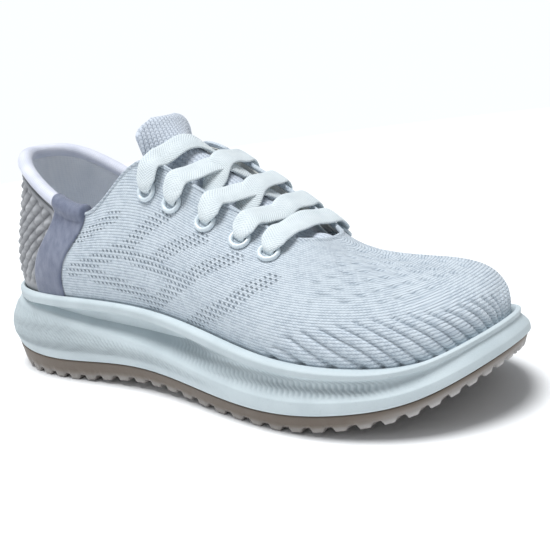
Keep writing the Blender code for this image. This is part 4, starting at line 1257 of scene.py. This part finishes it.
def straight_shift(row, side, share, goal):
    """Shift along the flap where a straight line to the goal, from above, crosses a share."""
    shifts = np.linspace(-0.6, 0.6, 121)
    turns = EYELET_TURNS[row] + shifts
    turns = turns if side == LATERAL else TURNS - turns
    home = flap_station(row, side, 0, EYELET_SHARE, 0, None)[0]
    places = rib_points(turns, share)
    run, off = (goal - home)[:2], (places - home)[:, :2]
    return shifts[np.abs(run[0] * off[:, 1] - run[1] * off[:, 0]).argmin()]


def under_edge(row, side):
    """Place where the lace comes out from under a flap's edge."""
    place, _, width = flap_station(row, side, -0.1, 1.0, -4.8, LACE_UNDER)
    return place + np.array([0, -side, 0.35]) * 2.8, width


def eyelet_stations(row, side, goal):
    """Stations from over a flap's edge, down through an eyelet and back out under the edge."""
    stations = []
    for share, lift, part in ((0.985, 2.9, 1), (EYELET_SHARE + 0.075, 3.3, 0.95)):
        shift = straight_shift(row, side, share, goal)
        size = (LACE_WIDTH * part, LACE_THICK)
        stations.append(flap_station(row, side, shift, share, lift, size))
    for lift in (1.4, -1.2, -3.7):
        stations.append(flap_station(row, side, 0, EYELET_SHARE + 0.006, lift, LACE_BUNCH))
    for shift, share, lift in ((-0.02, EYELET_SHARE + 0.05, -5.2), (-0.06, 0.95, -5.2)):
        stations.append(flap_station(row, side, shift, share, lift, LACE_UNDER))
    place, width = under_edge(row, side)
    return [*stations, (place, LACE_UNDER, width)]


def lace_stations():
    """The whole lace from end to end: places, sizes across it and directions of its width."""
    stations = tail_stations(*LACE_ROUTE[0])[::-1]
    last = len(LACE_ROUTE) - 1
    for step, (row, side) in enumerate(LACE_ROUTE):
        rising = step < LACE_RISES
        other = LACE_ROUTE[step + 1 if rising else step - 1]
        bar = step in (LACE_RISES - 1, LACE_RISES)
        goal = flap_station(*other, 0, EYELET_SHARE, 0, None)[0] if bar else under_edge(*other)[0]
        passage = eyelet_stations(row, side, goal)
        if step in (0, last):
            passage = passage[:-3]
        if rising:
            passage = passage[::-1]
        if step:
            if rising:
                lifts = HIGH_STRAP[::-1] if side == LATERAL else LOW_STRAP[::-1]
            elif step == LACE_RISES:
                lifts = FRONT_BAR
            else:
                lifts = HIGH_STRAP if side == MEDIAL else LOW_STRAP
            stations += crossing(stations[-1][0], passage[0][0], lifts)
        stations += passage
    return stations + tail_stations(*LACE_ROUTE[-1])


def lace_piece(look):
    """Flat woven lace, swept whole along its route with soft rounded edges."""
    stations = lace_stations()
    places = np.array([place for place, _, _ in stations])
    sizes = np.array([size for _, size, _ in stations])
    widths = [stations[0][2]]
    for _, _, width in stations[1:]:
        widths.append(width if width @ widths[-1] > 0 else -width)
    reach = distances(places)
    steps = [np.linspace(a, b, 9, endpoint=False) for a, b in zip(reach, reach[1:])]
    at = np.concatenate(steps + [reach[-1:]])
    path = spline(reach, places, at)
    size = np.column_stack([np.interp(at, reach, column) for column in sizes.T])
    across = np.column_stack([np.interp(at, reach, column) for column in np.array(widths).T])
    along = unit(np.gradient(path, axis=0))
    across = unit(across - along * (across * along).sum(1)[:, None])
    up = np.cross(along, across)
    angle = (np.arange(28) + 0.5) * 2 * math.pi / 28
    side = np.sign(np.cos(angle)) * np.abs(np.cos(angle)) ** 0.55 / 2
    lift = np.sign(np.sin(angle)) * np.abs(np.sin(angle)) ** 0.85 / 2
    wide = LACE_WIDTH * (size[:, :1] / LACE_WIDTH) ** 0.75 * side * LACE_PLUMP
    thick = size[:, 1:] * lift * LACE_PLUMP
    grid = path[:, None] + across[:, None] * wide[..., None] + up[:, None] * thick[..., None]
    run = np.broadcast_to(at[:, None], grid.shape[:2])
    chart = np.stack([run, np.broadcast_to(side * LACE_WIDTH, run.shape), 0 * run], -1)
    return piece(
        "woven_lace", [(grid, chart)], look, replaces=["lace"], loops=(False, True)
    )


# ---------------------------------------------------------------- stage


def softbox(name, place, target, size, watts, colour):
    """A soft studio light. Place and target in metres."""
    lamp = bpy.data.lights.new(name, "AREA")
    lamp.shape, lamp.size, lamp.energy, lamp.color = "DISK", size, watts, colour
    made = bpy.data.objects.new(name, lamp)
    made.location = place
    made.rotation_euler = (Vector(target) - Vector(place)).to_track_quat("-Z", "Y").to_euler()
    bpy.context.scene.collection.objects.link(made)


def stage():
    """Round pale floor, an even sky that looks white, a soft overhead light and a faint softbox."""
    world = bpy.data.worlds.new("studio")
    world.use_nodes = True
    sky = world.node_tree.nodes["Background"]
    sky.inputs["Color"].default_value = (0.93, 0.96, 1.0, 1)
    sky.inputs["Strength"].default_value = SKY_LIGHT
    seen = world.node_tree.nodes.new("ShaderNodeLightPath").outputs["Is Camera Ray"]
    strength = world.node_tree.nodes.new("ShaderNodeMapRange")
    strength.inputs["To Min"].default_value = SKY_LIGHT
    strength.inputs["To Max"].default_value = SKY_SEEN
    world.node_tree.links.new(seen, strength.inputs["Value"])
    world.node_tree.links.new(strength.outputs[0], sky.inputs["Strength"])
    bpy.context.scene.world = world
    bpy.context.scene.view_settings.view_transform = "Standard"
    turns = np.linspace(0, math.tau, 96, endpoint=False)
    rim = np.column_stack([np.cos(turns), np.sin(turns), 0 * turns]) * FLOOR_RADIUS
    mesh = bpy.data.meshes.new("floor")
    mesh.from_pydata(rim.tolist(), [], [tuple(range(len(rim)))])
    floor = bpy.data.objects.new("floor", mesh)
    mesh.materials.append(floor_look())
    bpy.context.scene.collection.objects.link(floor)
    lamp = bpy.data.lights.new("overhead", "SUN")
    lamp.angle, lamp.energy, lamp.color = math.radians(SUN_ANGLE), SUN_ENERGY, (0.97, 0.985, 1.0)
    sun = bpy.data.objects.new("overhead", lamp)
    sun.rotation_euler = Vector(SUN_AIM).to_track_quat("-Z", "Y").to_euler()
    bpy.context.scene.collection.objects.link(sun)
    softbox("front", (-0.7, -1.9, 1.3), (0, 0, 0.05), 0.8, 3, (0.93, 0.96, 1.0))


def camera():
    azimuth, elevation, roll = (math.radians(a) for a in CAMERA_ANGLES)
    level = math.cos(elevation)
    back = Vector((math.sin(azimuth) * level, -math.cos(azimuth) * level, math.sin(elevation)))
    right = Vector((math.cos(azimuth), math.sin(azimuth), 0))
    up = back.cross(right)
    side = right * math.cos(roll) + up * math.sin(roll)
    top = up * math.cos(roll) - right * math.sin(roll)
    turn = Matrix((side, top, back)).transposed().to_4x4()
    made = bpy.data.objects.new("camera", bpy.data.cameras.new("camera"))
    made.matrix_world = Matrix.Translation(CAMERA_PLACE) @ turn
    made.data.lens = CAMERA_LENS
    made.data.sensor_width = 36
    bpy.context.scene.collection.objects.link(made)
    bpy.context.scene.camera = made


def frame_shift():
    """From the design's own origin to the frame's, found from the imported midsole's box."""
    t = np.arange(96) * TURNS / 96
    low, high = (np.array(corner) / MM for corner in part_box("midsole"))
    x = outline(t)[:, 0]
    insets = [side_inset(x, share)[:, None] for share in MIDSOLE_LEVELS]
    flat = np.concatenate([outline(t) - outward(t) * inset for inset in insets])
    middle = (flat.min(0) + flat.max(0)) / 2
    return np.array([*((low + high)[:2] / 2 - middle), 0.0])


SHIFT = frame_shift()
SIDE_LENGTH = length_table()


def build():
    midsole_piece(foam_look())
    outsole_piece(rubber_look())
    insole_piece(satin_look("footbed cloth", (0.60, 0.64, 0.70), (0.84, 0.87, 0.91), 1.4, 0.15))
    knit_piece(knit_look())
    heel_cap_piece(moulded_look())
    lining = satin_look("lining cloth", (0.76, 0.80, 0.86), (0.93, 0.95, 0.98), 1.1, 0.1)
    collar_piece(satin_look("collar satin", (0.62, 0.65, 0.77), (0.85, 0.87, 0.95), 1.0, 0.1))
    band = strap_look()
    for side in (LATERAL, MEDIAL):
        strap_piece(side, band)
    lining_piece("heel_lining_cloth", -LINING_SPLIT, LINING_SPLIT, 0.97, lining, "heel_lining")
    start, end = LINING_SPLIT + 0.03, TURNS - LINING_SPLIT - 0.03
    lining_piece("vamp_lining_cloth", start, end, 0.68, lining, "vamp_lining")
    ring_look = eyelet_look()
    for side in (LATERAL, MEDIAL):
        for row in range(len(EYELET_TURNS)):
            eyelet_piece(row, side, ring_look)
    tongue_pieces(tongue_look(), lining)
    lace_piece(lace_look())
    board = board_look()
    for node in ("strobel_board", "toe_puff", "eyestay_lateral", "eyestay_medial"):
        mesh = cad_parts[node].data
        mesh.materials.clear()
        mesh.materials.append(board)
    stage()
    camera()


build()
